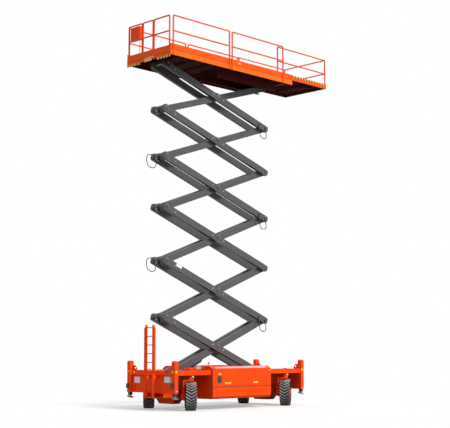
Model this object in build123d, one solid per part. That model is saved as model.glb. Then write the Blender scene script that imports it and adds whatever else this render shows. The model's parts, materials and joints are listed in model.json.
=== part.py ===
"""Self-propelled scissor lift on four steered wheels, raised, with its deck extension run out.

Millimetres. X runs from the ladder end to the front, Y across to the far side, Z up from the ground.
The pieces are drawn about the middle of the chassis and shifted on export, so that the row's origin
lies under the middle of the whole machine, at ground level.
"""

from build123d import *
from math import atan2, cos, degrees, hypot, pi, radians, sin, tan
import os

os.makedirs("parts", exist_ok=True)

# ================================================================ driving dimensions
# ---------------------------------------------------------------- fits
pin_play = 0.05              # radial clearance of a pin in its bore
running_gap = 10             # between parts that pass each other
seat_gap = 0.3               # between a part and the seat it rests on

# ---------------------------------------------------------------- flats of round shapes
small_flat_count = 8         # of bores, whose flats lie round the pin, and of tubes and hubs
large_flat_count = 16        # of rims, barrels and pads

# ---------------------------------------------------------------- scissor stack
stages = 6
rest_angle = 22.5            # of the lowest arms above level, in degrees
stowed_angle = 8.2
raised_angle = 66.5
arm_length = 5260            # from end pin to end pin
middle_pin_rise = 23.6       # of an arm's middle pin above the line between its end pins
arm_depth = 225
arm_drop = 40                # of an arm's middle line below the line between its end pins
arm_reach = 130              # arm beyond its end pins
arm_corner = 50              # bevel of an arm's corners
lug_top = 100                # of the lugs over an arm's first and middle pins, above the pins' line
lug_half = 95
lug_slope = 70
outer_arm_width = 120
inner_arm_width = 130
inner_arm_inside = 85        # from the middle plane to the inner arm
pin_radius = 50
pin_stand_out = 30           # of a pin beyond the part that it ends in
tube_wall = 12               # of the cross tubes between the inner arms
base_pin_height = 1100
slider_length = 240
slider_width = 90
slider_height = 150
slider_offset = 20           # from the outer arms to the sliding blocks
slider_gap = 5               # above and below a sliding block
guide_thickness = 12
track_margin = 94            # of the channels past the ends of a block's travel
ear_width = 40
ear_head = 90                # above and beside the pin that an ear holds
ear_foot = 140, 200

# stiffening plates under the first inner arms, round the cylinder's head pin
gusset_half_length = 420
gusset_half_foot = 160
gusset_drop = 110
gusset_thickness = 16

# ---------------------------------------------------------------- lift cylinder
cylinder_from_pivot = 230    # of the cylinder's foot from the arms' fixed pivot, along X
cylinder_foot_height = 704
cylinder_head_along = 1665   # along the first inner arm from its lower pin
cylinder_head_below = 137    # below the arm's centre line
cylinder_eye_width = 110
barrel_radius = 70
barrel_start = 120           # from the foot pin
barrel_length = 1180
barrel_floor = 40
rod_radius = 42
rod_in_barrel = 760
head_pin_radius = 35
foot_pin_radius = 40
eye_wall = 22
clevis_gap = 5
clevis_width = 20
clevis_head = 60
clevis_foot = 110

# ---------------------------------------------------------------- chassis
frame_bottom = 420
frame_top = 1300
well_half_width = 490        # inside of the tub that the arms fold into
tub_wall = 20
post_from_arms = 510         # of the posts' middles past half an arm's length
pivot_inset = 360            # of the arms' fixed pivot from the posts' middles
post_y = 1120
post_size = 155
post_wall = 14
post_bottom = 580
post_top = 1637
post_bevel = 28              # round a housing's top
post_lid = 20
end_plate_inset = 20         # of an end plate's face from the middle of the posts
end_plate_bottom = 575
end_plate_top = 1280
end_plate_thickness = 25
end_lip = 55                 # reach of the flanges along an end plate
lip_thickness = 25
top_lip_drop = 120           # of the upper flange below the plate's top
side_rail_height = 155
side_rail_width = 100
fender_thickness = 15
beam_half_length = 170       # of the axle beams along X
beam_depth = 225
beam_half_foot = 330
beam_shoulder = 20
eye_radius = 38              # of the lashing eyes beside the posts
eye_height = 1395
eye_inset = 142              # of an eye from the post's side
eye_plate_over = 85          # of an eye's plate above the eye
eye_plate_width = 242

# ---------------------------------------------------------------- wheels and steering
wheel_inset = 780            # of the wheels' middles from the posts' middles
wheel_y = 1050
tyre_radius = 475
tyre_width = 380
tyre_shoulder_width = 30
tyre_shoulder_depth = 70
rim_radius = 300
rim_inset = 30               # of a rim's edge from the tyre's side
rim_lip = 25
dish_radius = 170            # where a rim's disc begins to rise to its edge
disc_place = (30, 60)        # of the disc, from the wheel's middle outwards
hub_radius = 105
hub_inset = 20               # of the hub's end from the tyre's side
lug_count = 16               # V-shaped lugs round a tyre, one on each flat of its tread
lug_height = 26
lug_width = 58
lug_skew = 95                # of a lug's ends past its tip
lug_inset = 34               # of a lug's end from the tyre's side
rear_steer = 50              # at rest, in degrees to the left of straight ahead
front_steer = 37
spindle_radius = 60
spindle_end = 110            # past the middle of the wheel
king_pin_radius = 40
king_boss_radius = 75
king_boss_drop = 180         # from the frame's top to the boss's foot
king_pin_short = 70          # of the pin's end below the frame's top
king_bore_short = 60         # of the boss's bore below the frame's top
king_cap_radius = 60
king_cap_height = 30
web_thickness = 24
bracket_gap = 25             # between tyre and steering bracket
bracket_thickness = 40
bracket_half_length = 130
bracket_leg_width = 55
bracket_leg_gap = 20
bracket_collar_radius = 95
motor_radius = 120
motor_length = 265
motor_stand_out = 60         # past the bracket's leg

# ---------------------------------------------------------------- jacks
leg_size = 115
collar_height = 60           # of the guide at a housing's foot
leg_top_drop = 120           # of a leg's top below its housing's top
stem_radius = 45
stem_height = 60
foot_radius = 125
foot_thickness = 30
foot_height = 425            # top of the foot's pad above the ground

# ---------------------------------------------------------------- cabinets along the sides
rear_bay = 820               # from the rear wheels' middles to the cabinets
front_bay = 990              # from the front wheels' middles to the cabinets
cabinet_side_y = 1250
cabinet_bottom = 350
cabinet_top = 1440
cabinet_seam = 757
cabinet_skin = 15
cabinet_tuck = 45            # of the lower front's foot, under the body
cabinet_tuck_height = 75
slope_width = 150
slope_height = 80
door_gap = 5
hinge_inset = 240            # of the outer hinges from the cabinets' ends
hinge_length = 70
hinge_radius = 22
hinge_pin = 10
hinge_sink = 6               # of a barrel into the lid's skin
block_end_gap = 500          # from a cabinet's ends to the engine and the tank
block_side_gap = 120
engine_drop = 260            # of the engine's top below the cabinet's top
tank_drop = 390

# ---------------------------------------------------------------- ladder
ladder_stand_off = 185       # of its middle from the end plate
ladder_y = -55               # of its middle
ladder_width = 405
ladder_bottom = 410
ladder_top = 2830
strip_width = 48             # of the strips outside the stiles
strip_bottom = 1290
strip_top_drop = 90          # below the stiles' top
stile_depth = 75
stile_width = 45
rung_pitch = 287
rung_depth = 36
rung_height = 30
rung_from_top = 110
hanger_bottom = 1060
hanger_height = 80

# ---------------------------------------------------------------- platform
deck_past_posts = 290        # of the deck's rear from the posts' middles
deck_short_of_posts = 365    # of the deck's front from the posts' middles
deck_half_width = 1125
deck_above_pins = 48         # from the top pins to the bottom of the deck
deck_side_width = 50
deck_side_height = 397
deck_floor_height = 185
deck_sheet = 15
deck_end_drop = 60           # of the end beam's top below the side beams' tops
cross_depth = 70
cross_width = 50
cross_pitch = 800
cross_start = 680            # of the first cross member from the deck's rear
platform_rail_height = 1395  # above the bottom of the deck
mid_rail_drop = 540
rail_size = 38
rail_bevel = 40
rail_gap = 97                # between the two side sections
rail_rear_inset = 90
rail_front_inset = 513
rail_split = 0.458           # place of the split along the deck
rail_foot = 30               # of an upright's end above the deck's bottom
extension_run_out = 2080     # beyond the deck
extension_lap = 785          # of the run-out extension over the deck
extension_travel = 2050
extension_side_width = 45
extension_rise = 215         # above the bottom of the main deck
extension_depth = 185
extension_floor = 110        # of its sheet above its bottom
extension_members = 0.36, 0.68   # places of its cross members along it
brace_width = 40
brace_height = 50
member_lift = 20             # of a cross member's foot above the extension's bottom
extension_rail_drop = 25     # of its rail below the main rail
extension_rail_rear = 40
extension_rail_front = 70
gate_y = (-235, 325)
gate_hinge_offset = 18
gate_pin = 8
gate_eye_height = 40
gate_hinge_low = 120         # of the hinges from the deck's and the rail's top
gate_hinge_high = 160
panel_depth = 120            # control panel
panel_from_side = 125        # from the deck's far side
panel_width = 480
panel_drop = 60

# ================================================================ worked out from them
post_x = arm_length / 2 + post_from_arms
base_pin_x = -post_x + pivot_inset
cylinder_foot_x = base_pin_x + cylinder_from_pivot
deck_rear_x = -post_x - deck_past_posts
deck_front_x = post_x - deck_short_of_posts
inner_arm_outside = inner_arm_inside + inner_arm_width
outer_arm_inside = inner_arm_outside + running_gap
outer_arm_outside = outer_arm_inside + outer_arm_width
slider_y = (outer_arm_outside + slider_offset, outer_arm_outside + slider_offset + slider_width)
base_ear_y = (outer_arm_inside, outer_arm_inside + ear_width)
top_ear_y = (outer_arm_outside + running_gap, outer_arm_outside + running_gap + ear_width)
wheel_x = post_x - wheel_inset
cabinet_rear_x = -wheel_x + rear_bay
cabinet_front_x = wheel_x - front_bay
end_x = post_x - end_plate_inset          # outer face of the front end plate
ladder_x = -end_x - ladder_stand_off
extension_rear_x = deck_front_x - extension_lap
extension_front_x = deck_front_x + extension_run_out
origin_x = (deck_rear_x + extension_front_x) / 2

# a tyre rests on one flat of its tread, where a lug's corners lie on the tyre's radius
lug_spread = (lug_width + lug_skew) / 2
axle_height = (tyre_radius ** 2 - lug_spread ** 2) ** 0.5


# raised middle pins lean each stage of the stack a little flatter than the one below it
stage_step_angle = degrees(2 * atan2(2 * middle_pin_rise, arm_length))


def stage_angle(stage, lowest_angle=rest_angle):
    """Angle of a stage's arms above level; stages count from 1."""
    return lowest_angle - stage_step_angle * (stage - 1)


def half_span(stage, end, lowest_angle=rest_angle):
    """From the stack's middle line out to a stage's bottom pins (end -1) or top pins (end 1)."""
    turn = radians(stage_angle(stage, lowest_angle))
    return arm_length / 2 * cos(turn) + end * middle_pin_rise * sin(turn)


def level_height(level, lowest_angle=rest_angle):
    """Height of the end pins at a level; level 0 is the base."""
    turns = [radians(stage_angle(stage, lowest_angle)) for stage in range(1, level + 1)]
    return base_pin_height + arm_length * sum(sin(turn) for turn in turns)


def end_pin(side, level):
    """X and Z of a left or right end pin."""
    reach = half_span(level, 1) if level else half_span(1, -1)
    return middle_x + (reach if side == "right" else -reach), level_height(level)


def middle_pin(stage):
    """X and Z of a stage's middle pin."""
    turn = radians(stage_angle(stage))
    return middle_x, level_height(stage - 1) + arm_length / 2 * sin(turn) + middle_pin_rise * cos(turn)


middle_x = base_pin_x + half_span(1, -1)
track_reach = slider_length / 2 + track_margin
base_track = (base_pin_x + 2 * half_span(1, -1, raised_angle) - track_reach,
              base_pin_x + 2 * half_span(1, -1, stowed_angle) + track_reach)
top_pin_x, top_pin_height = end_pin("left", stages)
top_track_x = (top_pin_x + 2 * half_span(stages, 1, raised_angle) - track_reach,
               top_pin_x + 2 * half_span(stages, 1, stowed_angle) + track_reach)
deck_bottom = top_pin_height + deck_above_pins
deck_floor = deck_bottom + deck_floor_height
deck_top = deck_bottom + deck_side_height
rail_top = deck_bottom + platform_rail_height


# ================================================================ shapes used in many places
def block(x, y, z):
    """A box given by its low and high values along each axis."""
    size = Box(x[1] - x[0], y[1] - y[0], z[1] - z[0])
    return Pos((x[0] + x[1]) / 2, (y[0] + y[1]) / 2, (z[0] + z[1]) / 2) * size


def plate_xz(points, y):
    """A plate whose outline lies in XZ, between two values of Y."""
    plane = Plane((0, y[0], 0), x_dir=(1, 0, 0), z_dir=(0, -1, 0))
    return extrude(plane * Polygon(*points, align=None), amount=y[1] - y[0], dir=(0, 1, 0))


def plate_yz(points, x):
    """A plate whose outline lies in YZ, between two values of X."""
    plane = Plane((x[0], 0, 0), x_dir=(0, 1, 0), z_dir=(1, 0, 0))
    return extrude(plane * Polygon(*points, align=None), amount=x[1] - x[0], dir=(1, 0, 0))


def plate_xy(points, z):
    """A plate whose outline lies in XY, between two values of Z."""
    return extrude(Pos(0, 0, z[0]) * Polygon(*points, align=None), amount=z[1] - z[0], dir=(0, 0, 1))


def pin_y(x, z, radius, y):
    """A round pin along Y."""
    return Pos(x, (y[0] + y[1]) / 2, z) * Rot(90, 0, 0) * Cylinder(radius, y[1] - y[0])


def pin_z(x, y, radius, z):
    """A round pin along Z."""
    return Pos(x, y, (z[0] + z[1]) / 2) * Cylinder(radius, z[1] - z[0])


def pin_x(x, radius):
    """A round pin along X, on the middle line."""
    return Pos((x[0] + x[1]) / 2, 0, 0) * Rot(0, 90, 0) * Cylinder(radius, x[1] - x[0])


def prism(radius, length, flats, on_flats=False):
    """A bar along Z from 0 with flats; the radius is that of its corners, or of its flats."""
    return extrude(RegularPolygon(radius, flats, major_radius=not on_flats), amount=length)


def prism_x(x, radius, flats, on_flats=False):
    """A faceted bar along X, on the middle line."""
    return Pos(x[0], 0, 0) * Rot(0, 90, 0) * prism(radius, x[1] - x[0], flats, on_flats)


def prism_y(x, z, radius, y, flats, on_flats=False):
    """A faceted bar along Y."""
    return Pos(x, y[1], z) * Rot(90, 0, 0) * prism(radius, y[1] - y[0], flats, on_flats)


def prism_z(x, y, radius, z, flats, on_flats=False):
    """A faceted bar along Z."""
    return Pos(x, y, z[0]) * prism(radius, z[1] - z[0], flats, on_flats)


def bore_y(x, z, radius, y, flats=small_flat_count):
    """The hole that a round pin of this radius turns in, its flats one play away from the pin."""
    return prism_y(x, z, radius + pin_play, y, flats, on_flats=True)


def both_sides(shape):
    """The shape and its mirror image across the middle of the machine."""
    return [shape, mirror(shape, about=Plane.XZ)]


def both_ends(shape):
    """The shape and its mirror image end for end."""
    return [shape, mirror(shape, about=Plane.YZ)]


def four_corners(shape):
    """The shape at each corner of the machine."""
    return [corner for end in both_ends(shape) for corner in both_sides(end)]


def joined(shapes):
    """One solid of touching or overlapping shapes."""
    first, *others = shapes
    return first.fuse(*others) if others else first


def save(node, *shapes):
    """Write one node, shifted into the row's frame."""
    solids = [solid for shape in shapes for solid in shape.solids()]
    export_step(Pos(-origin_x, 0, 0) * Compound(children=solids), f"parts/{node}.step")


# ================================================================ scissor stack
stations = ((0, 0), (arm_length / 2, middle_pin_rise), (arm_length, 0))    # of an arm's pins
arm_low = -arm_drop - arm_depth / 2
arm_high = arm_depth / 2 - arm_drop


def arm_outline():
    """Side outline of one arm, lying level from its first pin at the origin."""
    bevel, middle = arm_corner, arm_length / 2
    start, end = -arm_reach, arm_length + arm_reach
    foot = lug_half + lug_slope
    return [
        (start, arm_low + bevel), (start, lug_top - bevel), (start + bevel, lug_top), (lug_half, lug_top),
        (foot, arm_high), (middle - foot, arm_high), (middle - lug_half, lug_top),
        (middle + lug_half, lug_top), (middle + foot, arm_high), (end - bevel, arm_high),
        (end, arm_high - bevel), (end, arm_low + bevel), (end - bevel, arm_low), (start + bevel, arm_low),
    ]


def inner_arms(stage):
    """Both inner arms of a stage, welded to the three tubes that its pins turn in."""
    x, z = end_pin("left", stage - 1)
    sides = both_sides(plate_xz(arm_outline(), (inner_arm_inside, inner_arm_outside)))
    between = (-inner_arm_inside, inner_arm_inside)
    through = (-inner_arm_outside - 1, inner_arm_outside + 1)
    tubes = [prism_y(*place, pin_radius + tube_wall, between, small_flat_count) for place in stations]
    bores = [bore_y(*place, pin_radius, through) for place in stations]
    frame = joined(sides + tubes)
    if stage == 1:
        frame = frame.fuse(*gusset_plates(), *head_bosses())
    return Pos(x, 0, z) * Rot(0, -stage_angle(stage), 0) * frame.cut(*bores)


def head_bosses():
    """Bored bosses inside the first inner arms, each side of the cylinder's eye."""
    reach = (cylinder_eye_width / 2 + running_gap, inner_arm_inside + clevis_gap)
    radius = head_pin_radius + eye_wall
    boss = prism_y(cylinder_head_along, -cylinder_head_below, radius, reach, small_flat_count)
    bore = bore_y(cylinder_head_along, -cylinder_head_below, head_pin_radius, (0, inner_arm_inside))
    return both_sides(boss.cut(bore))


def gusset_plates():
    """Plates under the first inner arms that stiffen them round the cylinder's head pin."""
    along, seam = cylinder_head_along, arm_low + running_gap
    outline = [
        (along - gusset_half_length, seam), (along + gusset_half_length, seam),
        (along + gusset_half_foot, arm_low - gusset_drop), (along - gusset_half_foot, arm_low - gusset_drop),
    ]
    return both_sides(plate_xz(outline, (inner_arm_inside, inner_arm_inside + gusset_thickness)))


def outer_arms(stage):
    """Both outer arms of a stage, which its pins hold apart."""
    x, z = end_pin("left", stage)
    side = plate_xz(arm_outline(), (outer_arm_inside, outer_arm_outside))
    return [Pos(x, 0, z) * Rot(0, stage_angle(stage), 0) * piece for piece in both_sides(side)]


def pin_stubs(x, z, end):
    """Pins on the outside of the outer arms, for the blocks or ears that turn there."""
    return both_sides(prism_y(x, z, pin_radius, (outer_arm_outside, end), large_flat_count))


def sliding_blocks(x, z):
    """A pair of blocks on the ends of a sliding pin."""
    piece = block((x - slider_length / 2, x + slider_length / 2), slider_y,
                  (z - slider_height / 2, z + slider_height / 2))
    return both_sides(piece.cut(bore_y(x, z, pin_radius, (slider_y[0] - 1, slider_y[1] + 1))))


between_arms = (-outer_arm_inside, outer_arm_inside)
for stage in range(1, stages + 1):
    lowest, highest = stage == 1, stage == stages
    save(f"inner_arms_{stage}", inner_arms(stage))
    save(f"outer_arms_{stage}", *outer_arms(stage))
    centre, right, left = middle_pin(stage), end_pin("right", stage - 1), end_pin("left", stage)
    pins = [pin_y(*centre, pin_radius, between_arms), pin_y(*left, pin_radius, between_arms)]
    if lowest:
        pins += [pin_y(*right, pin_radius, between_arms), *pin_stubs(*right, slider_y[1])]
    else:
        pins.append(prism_y(*right, pin_radius, between_arms, large_flat_count))
    if highest:
        pins += pin_stubs(*left, top_ear_y[1] + pin_stand_out)
    save(f"arm_pins_{stage}", *pins)

save("top_slide_pin", pin_y(*end_pin("right", stages), pin_radius, (-slider_y[1], slider_y[1])))
save("base_sliders", *sliding_blocks(*end_pin("right", 0)))
save("top_sliders", *sliding_blocks(*end_pin("right", stages)))

# ---------------------------------------------------------------- lift cylinder
# its barrel turns on the tub's floor and its rod's eye lies between the first inner arms' bosses
turn = radians(rest_angle)
left_x, left_z = end_pin("left", 0)
head_x = left_x + cylinder_head_along * cos(turn) + cylinder_head_below * sin(turn)
head_z = left_z + cylinder_head_along * sin(turn) - cylinder_head_below * cos(turn)
foot_x, foot_z = cylinder_foot_x, cylinder_foot_height
cylinder_length = hypot(head_x - foot_x, head_z - foot_z)
cylinder_angle = degrees(atan2(head_z - foot_z, head_x - foot_x))
on_cylinder = Pos(foot_x, 0, foot_z) * Rot(0, -cylinder_angle, 0)


def cylinder_eye(x, bore_radius):
    """The boss at a cylinder's end, and the bore for its pin."""
    half = cylinder_eye_width / 2
    ring = prism_y(x, 0, bore_radius + eye_wall, (-half, half), small_flat_count)
    return ring, bore_y(x, 0, bore_radius, (-half - 1, half + 1), small_flat_count)


ring, bore = cylinder_eye(0, foot_pin_radius)
neck_reach = (foot_pin_radius + pin_play, barrel_start + 1)
neck = prism_x(neck_reach, cylinder_eye_width / 2 - clevis_gap, small_flat_count)
barrel = prism_x((barrel_start, barrel_length), barrel_radius, large_flat_count).fuse(ring, neck)
hole_reach = (barrel_start + barrel_floor, barrel_length + 1)
rod_hole = prism_x(hole_reach, rod_radius + pin_play, large_flat_count, on_flats=True)
save("lift_barrel", on_cylinder * barrel.cut(bore, rod_hole))
ring, bore = cylinder_eye(cylinder_length, head_pin_radius)
rod_reach = (barrel_length - rod_in_barrel, cylinder_length - head_pin_radius - pin_play)
rod = prism_x(rod_reach, rod_radius, large_flat_count)
save("lift_rod", on_cylinder * rod.fuse(ring).cut(bore))

# ================================================================ chassis
tub_x = (-end_x + end_plate_thickness, end_x - end_plate_thickness)
post_inner_y = post_y - post_size / 2
floor_top = frame_bottom + tub_wall

# tub: the open trough between the wheels that the arms fold into
save("tub_floor", block(tub_x, (-well_half_width, well_half_width), (frame_bottom, floor_top)))
save("tub_walls", *both_sides(block(tub_x, (well_half_width, well_half_width + tub_wall),
                                    (frame_bottom, frame_top))))


def guide_bars(z):
    """The bars above and below a sliding block, from the plane of the arms out to the wall."""
    half = slider_height / 2 + slider_gap
    return [
        block(base_track, (slider_y[0], well_half_width), heights)
        for heights in ((z - half - guide_thickness, z - half), (z + half, z + half + guide_thickness))
    ]


save("slide_tracks", *[side for bar in guide_bars(base_pin_height) for side in both_sides(bar)])


def pivot_brackets():
    """Plates on the tub's floor that hold the arms' fixed pivot and the cylinder's foot."""
    x, z = left_x, left_z
    ear_outline = [(x - ear_foot[1], floor_top), (x + ear_foot[1], floor_top),
                   (x + ear_head, z + ear_head), (x - ear_head, z + ear_head)]
    ear = plate_xz(ear_outline, base_ear_y).cut(bore_y(x, z, pin_radius, (0, well_half_width)))
    start = cylinder_eye_width / 2 + clevis_gap
    clevis_outline = [(foot_x - clevis_foot, floor_top), (foot_x + clevis_foot, floor_top),
                      (foot_x + clevis_head, foot_z + clevis_head),
                      (foot_x - clevis_head, foot_z + clevis_head)]
    clevis = plate_xz(clevis_outline, (start, start + clevis_width))
    return both_sides(ear) + both_sides(clevis.cut(bore_y(foot_x, foot_z, foot_pin_radius, (0, start * 2))))


save("pivot_brackets", *pivot_brackets())
pivot_half = base_ear_y[1] + pin_stand_out
foot_pin_half = cylinder_eye_width / 2 + clevis_gap + clevis_width
save("chassis_pins", pin_y(left_x, left_z, pin_radius, (-pivot_half, pivot_half)),
     pin_y(foot_x, foot_z, foot_pin_radius, (-foot_pin_half, foot_pin_half)))


def end_plate():
    """The plate across one end, with its lashing eyes beside the posts, and the flanges along it."""
    half = post_inner_y
    inner = half - eye_plate_width
    top = eye_height + eye_plate_over
    outline = [
        (-half, end_plate_bottom), (half, end_plate_bottom), (half, top),
        (half - eye_inset, top), (inner + end_lip / 2, eye_height), (inner, end_plate_top),
        (-inner, end_plate_top), (-inner - end_lip / 2, eye_height), (-half + eye_inset, top),
        (-half, top),
    ]
    x = (end_x - end_plate_thickness, end_x)
    flange_z = (end_plate_bottom, end_plate_top - top_lip_drop)
    flanges = [block((end_x, end_x + end_lip), (-half, half), (z, z + lip_thickness)) for z in flange_z]
    eyes = [
        Pos(end_x, side * (half - eye_inset), eye_height) * Rot(0, 90, 0) * Cylinder(eye_radius, 2 * end_lip)
        for side in (-1, 1)
    ]
    return [plate_yz(outline, x).cut(*eyes)] + flanges


save("end_plates", *[piece for shape in end_plate() for piece in both_ends(shape)])


def wheel_bay(bay_end):
    """Above one wheel: the side rail, the plate in to the tub, and the boss that the knuckle hangs from."""
    post_end = post_x - post_size / 2
    rail_low = frame_top + fender_thickness - side_rail_height
    rail_y = (post_y - side_rail_width / 2, post_y + side_rail_width / 2)
    wall_y = well_half_width + tub_wall
    boss_foot = frame_top - king_boss_drop
    rail = block((bay_end, post_end), rail_y, (rail_low, frame_top + fender_thickness))
    plate = block((bay_end, post_end), (wall_y, rail_y[0]), (frame_top, frame_top + fender_thickness))
    boss = prism_z(wheel_x, wheel_y, king_boss_radius, (boss_foot, frame_top + 1), small_flat_count)
    web = block((wheel_x - web_thickness / 2, wheel_x + web_thickness / 2), (wall_y, wheel_y),
                (boss_foot + fender_thickness, frame_top + 1))
    cap_foot = frame_top + fender_thickness - 1
    cap = prism_z(wheel_x, wheel_y, king_cap_radius, (cap_foot, cap_foot + king_cap_height), small_flat_count)
    bore_reach = (boss_foot - 1, frame_top - king_bore_short)
    bore = prism_z(wheel_x, wheel_y, king_pin_radius + pin_play, bore_reach, small_flat_count, on_flats=True)
    return joined([rail, plate, boss, web, cap]).cut(bore)


save("wheel_bays", *both_sides(wheel_bay(cabinet_front_x)),
     *both_sides(mirror(wheel_bay(-cabinet_rear_x), about=Plane.YZ)))


def post_shell():
    """One jack's housing, open at its foot, where a collar guides the leg."""
    half, inside, guide = post_size / 2, post_size / 2 - post_wall, leg_size / 2 + seat_gap
    outer = block((-half, half), (-half, half), (post_bottom, post_top))
    outer = chamfer(outer.faces().sort_by(Axis.Z)[-1].edges(), post_bevel)
    hollow = block((-inside, inside), (-inside, inside), (post_bottom + collar_height, post_top - post_lid))
    mouth = block((-guide, guide), (-guide, guide), (post_bottom - 1, post_bottom + collar_height + 1))
    return outer.cut(hollow, mouth)


save("jack_housings", *four_corners(Pos(post_x, post_y, 0) * post_shell()))


def axle_beam():
    """A beam under the tub, deepest in the middle and tapered towards the wheels."""
    edge = well_half_width + 1.75 * tub_wall
    outline = [
        (-edge, frame_bottom), (edge, frame_bottom), (edge, frame_bottom - beam_shoulder),
        (beam_half_foot, frame_bottom - beam_depth), (-beam_half_foot, frame_bottom - beam_depth),
        (-edge, frame_bottom - beam_shoulder),
    ]
    return plate_yz(outline, (wheel_x - beam_half_length, wheel_x + beam_half_length))


save("axle_beams", *both_ends(axle_beam()))

# ---------------------------------------------------------------- jack legs
for name, x, y in (
    ("rear_near", -post_x, -post_y), ("rear_far", -post_x, post_y),
    ("front_near", post_x, -post_y), ("front_far", post_x, post_y),
):
    half = leg_size / 2
    leg_z = (foot_height + stem_height, post_top - leg_top_drop)
    leg = block((x - half, x + half), (y - half, y + half), leg_z)
    stem = prism_z(x, y, stem_radius, (foot_height - 1, foot_height + stem_height + 1), small_flat_count)
    pad = prism_z(x, y, foot_radius, (foot_height - foot_thickness, foot_height), large_flat_count)
    save(f"jack_leg_{name}", leg.fuse(stem, pad))


# ================================================================ wheels and knuckles
def tapered(radius, end_radius, height, flats):
    """A faceted bar along Z from 0 that narrows towards its end."""
    slope = degrees(atan2((radius - end_radius) * cos(pi / flats), height))
    return extrude(RegularPolygon(radius, flats), amount=height, taper=slope)


def tyre():
    """A tyre with its axle along Y through the origin, V-shaped lugs on the flats of its tread."""
    half = tyre_width / 2
    straight = half - tyre_shoulder_width
    core = (axle_height - lug_height) / cos(pi / lug_count)
    shoulder = Pos(0, 0, straight) * tapered(core, core - tyre_shoulder_depth, tyre_shoulder_width, lug_count)
    tread = Pos(0, 0, -straight) * prism(core, 2 * straight, lug_count)
    body = tread.fuse(shoulder, mirror(shoulder, about=Plane.XY))
    hole = Pos(0, 0, -half - 1) * prism(rim_radius, tyre_width + 2, large_flat_count)
    tip = half - lug_inset
    outline = [
        (0, -lug_spread), (tip, lug_spread - lug_width), (tip, lug_spread), (0, lug_width - lug_spread),
        (-tip, lug_spread), (-tip, lug_spread - lug_width),
    ]
    lug = Rot(0, 90, 0) * plate_xy(outline, (axle_height - 2 * lug_height, axle_height))
    lugs = [Rot(0, 0, 360 / lug_count * (number + 0.5)) * lug for number in range(lug_count)]
    return Rot(90, 0, 0) * body.cut(hole).fuse(*lugs)


def rim():
    """A wheel's rim, its dished disc set towards the outside, with the hub that turns on the spindle."""
    half = tyre_width / 2 - rim_inset
    lip = rim_radius - rim_lip
    inner, outer = disc_place
    ring = Pos(0, 0, -half) * prism(rim_radius - seat_gap, 2 * half, large_flat_count)
    dish = Pos(0, 0, half) * Rot(180, 0, 0) * tapered(lip, dish_radius, half - outer, large_flat_count)
    back = Pos(0, 0, -half - 1) * prism(lip, half + inner + 1, large_flat_count)
    hub = Pos(0, 0, inner) * prism(hub_radius, tyre_width / 2 - hub_inset - inner, small_flat_count)
    bore = Pos(0, 0, inner - 1) * prism(spindle_radius + pin_play, spindle_end + hub_inset / 3 - inner,
                                        small_flat_count, on_flats=True)
    return Rot(90, 0, 0) * ring.cut(dish, back).fuse(hub).cut(bore)


def knuckle():
    """The bracket from the king pin over the tyre and down to the axle, for a wheel that faces -Y."""
    top_z = axle_height + tyre_radius + bracket_gap
    collar_top = frame_top - king_boss_drop - seat_gap
    leg_y = (tyre_width / 2 + bracket_leg_gap, tyre_width / 2 + bracket_leg_gap + bracket_leg_width)
    half, top = bracket_half_length, top_z + bracket_thickness
    plate = block((-half, half), (-bracket_collar_radius, leg_y[1]), (top_z, top))
    collar = prism_z(0, 0, bracket_collar_radius, (top_z, collar_top), small_flat_count)
    pin = pin_z(0, 0, king_pin_radius, (top_z, frame_top - king_pin_short))
    waist = (axle_height * 1.35, axle_height * 0.7)
    leg = plate_xz([(-half, top), (half, top), (half, waist[0]), (half * 0.7, waist[1]),
                    (-half * 0.7, waist[1]), (-half, waist[0])], leg_y)
    motor_end = leg_y[1] + motor_stand_out
    motor = prism_y(0, axle_height, motor_radius, (motor_end - motor_length, motor_end), small_flat_count)
    spindle = pin_y(0, axle_height, spindle_radius, (-spindle_end, leg_y[0]))
    return plate.fuse(collar, pin, leg, motor, spindle)


corners = (
    # name, x, y, steering angle, half a turn for the far side
    ("rear_near", -wheel_x, -wheel_y, rear_steer, 0), ("rear_far", -wheel_x, wheel_y, rear_steer, 180),
    ("front_near", wheel_x, -wheel_y, front_steer, 0), ("front_far", wheel_x, wheel_y, front_steer, 180),
)
flat_down = Rot(0, 180 / lug_count, 0)
for name, x, y, steer, facing in corners:
    place = Pos(x, y, 0) * Rot(0, 0, steer + facing)
    wheel = place * Pos(0, 0, axle_height) * flat_down
    save(f"knuckle_{name}", place * knuckle())
    save(f"rim_{name}", wheel * rim())
    save(f"tyre_{name}", wheel * tyre())

# ================================================================ cabinets
cabinet_inner_y = well_half_width + tub_wall + seat_gap
cabinet_x = (cabinet_rear_x, cabinet_front_x)
lid_bottom = cabinet_seam + door_gap
lid_room = cabinet_skin + 3 * door_gap       # between the lid's outside and the tray's ends


def cabinet_outline(inset, bottom):
    """Section of a cabinet's front and top in YZ, drawn in by the inset."""
    side, top = cabinet_side_y - inset, cabinet_top - inset
    return [
        (cabinet_inner_y + inset, bottom), (side, bottom), (side, top - slope_height),
        (side - slope_width, top), (cabinet_inner_y + inset, top),
    ]


def tray_outline(inset):
    """Section of a tray below the lid, its lower front tucked in along the foot."""
    side = cabinet_side_y - inset
    bottom = cabinet_bottom + inset
    return [
        (cabinet_inner_y + inset, bottom), (side - cabinet_tuck, bottom),
        (side, bottom + cabinet_tuck_height), (side, cabinet_seam), (cabinet_inner_y + inset, cabinet_seam),
    ]


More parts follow.
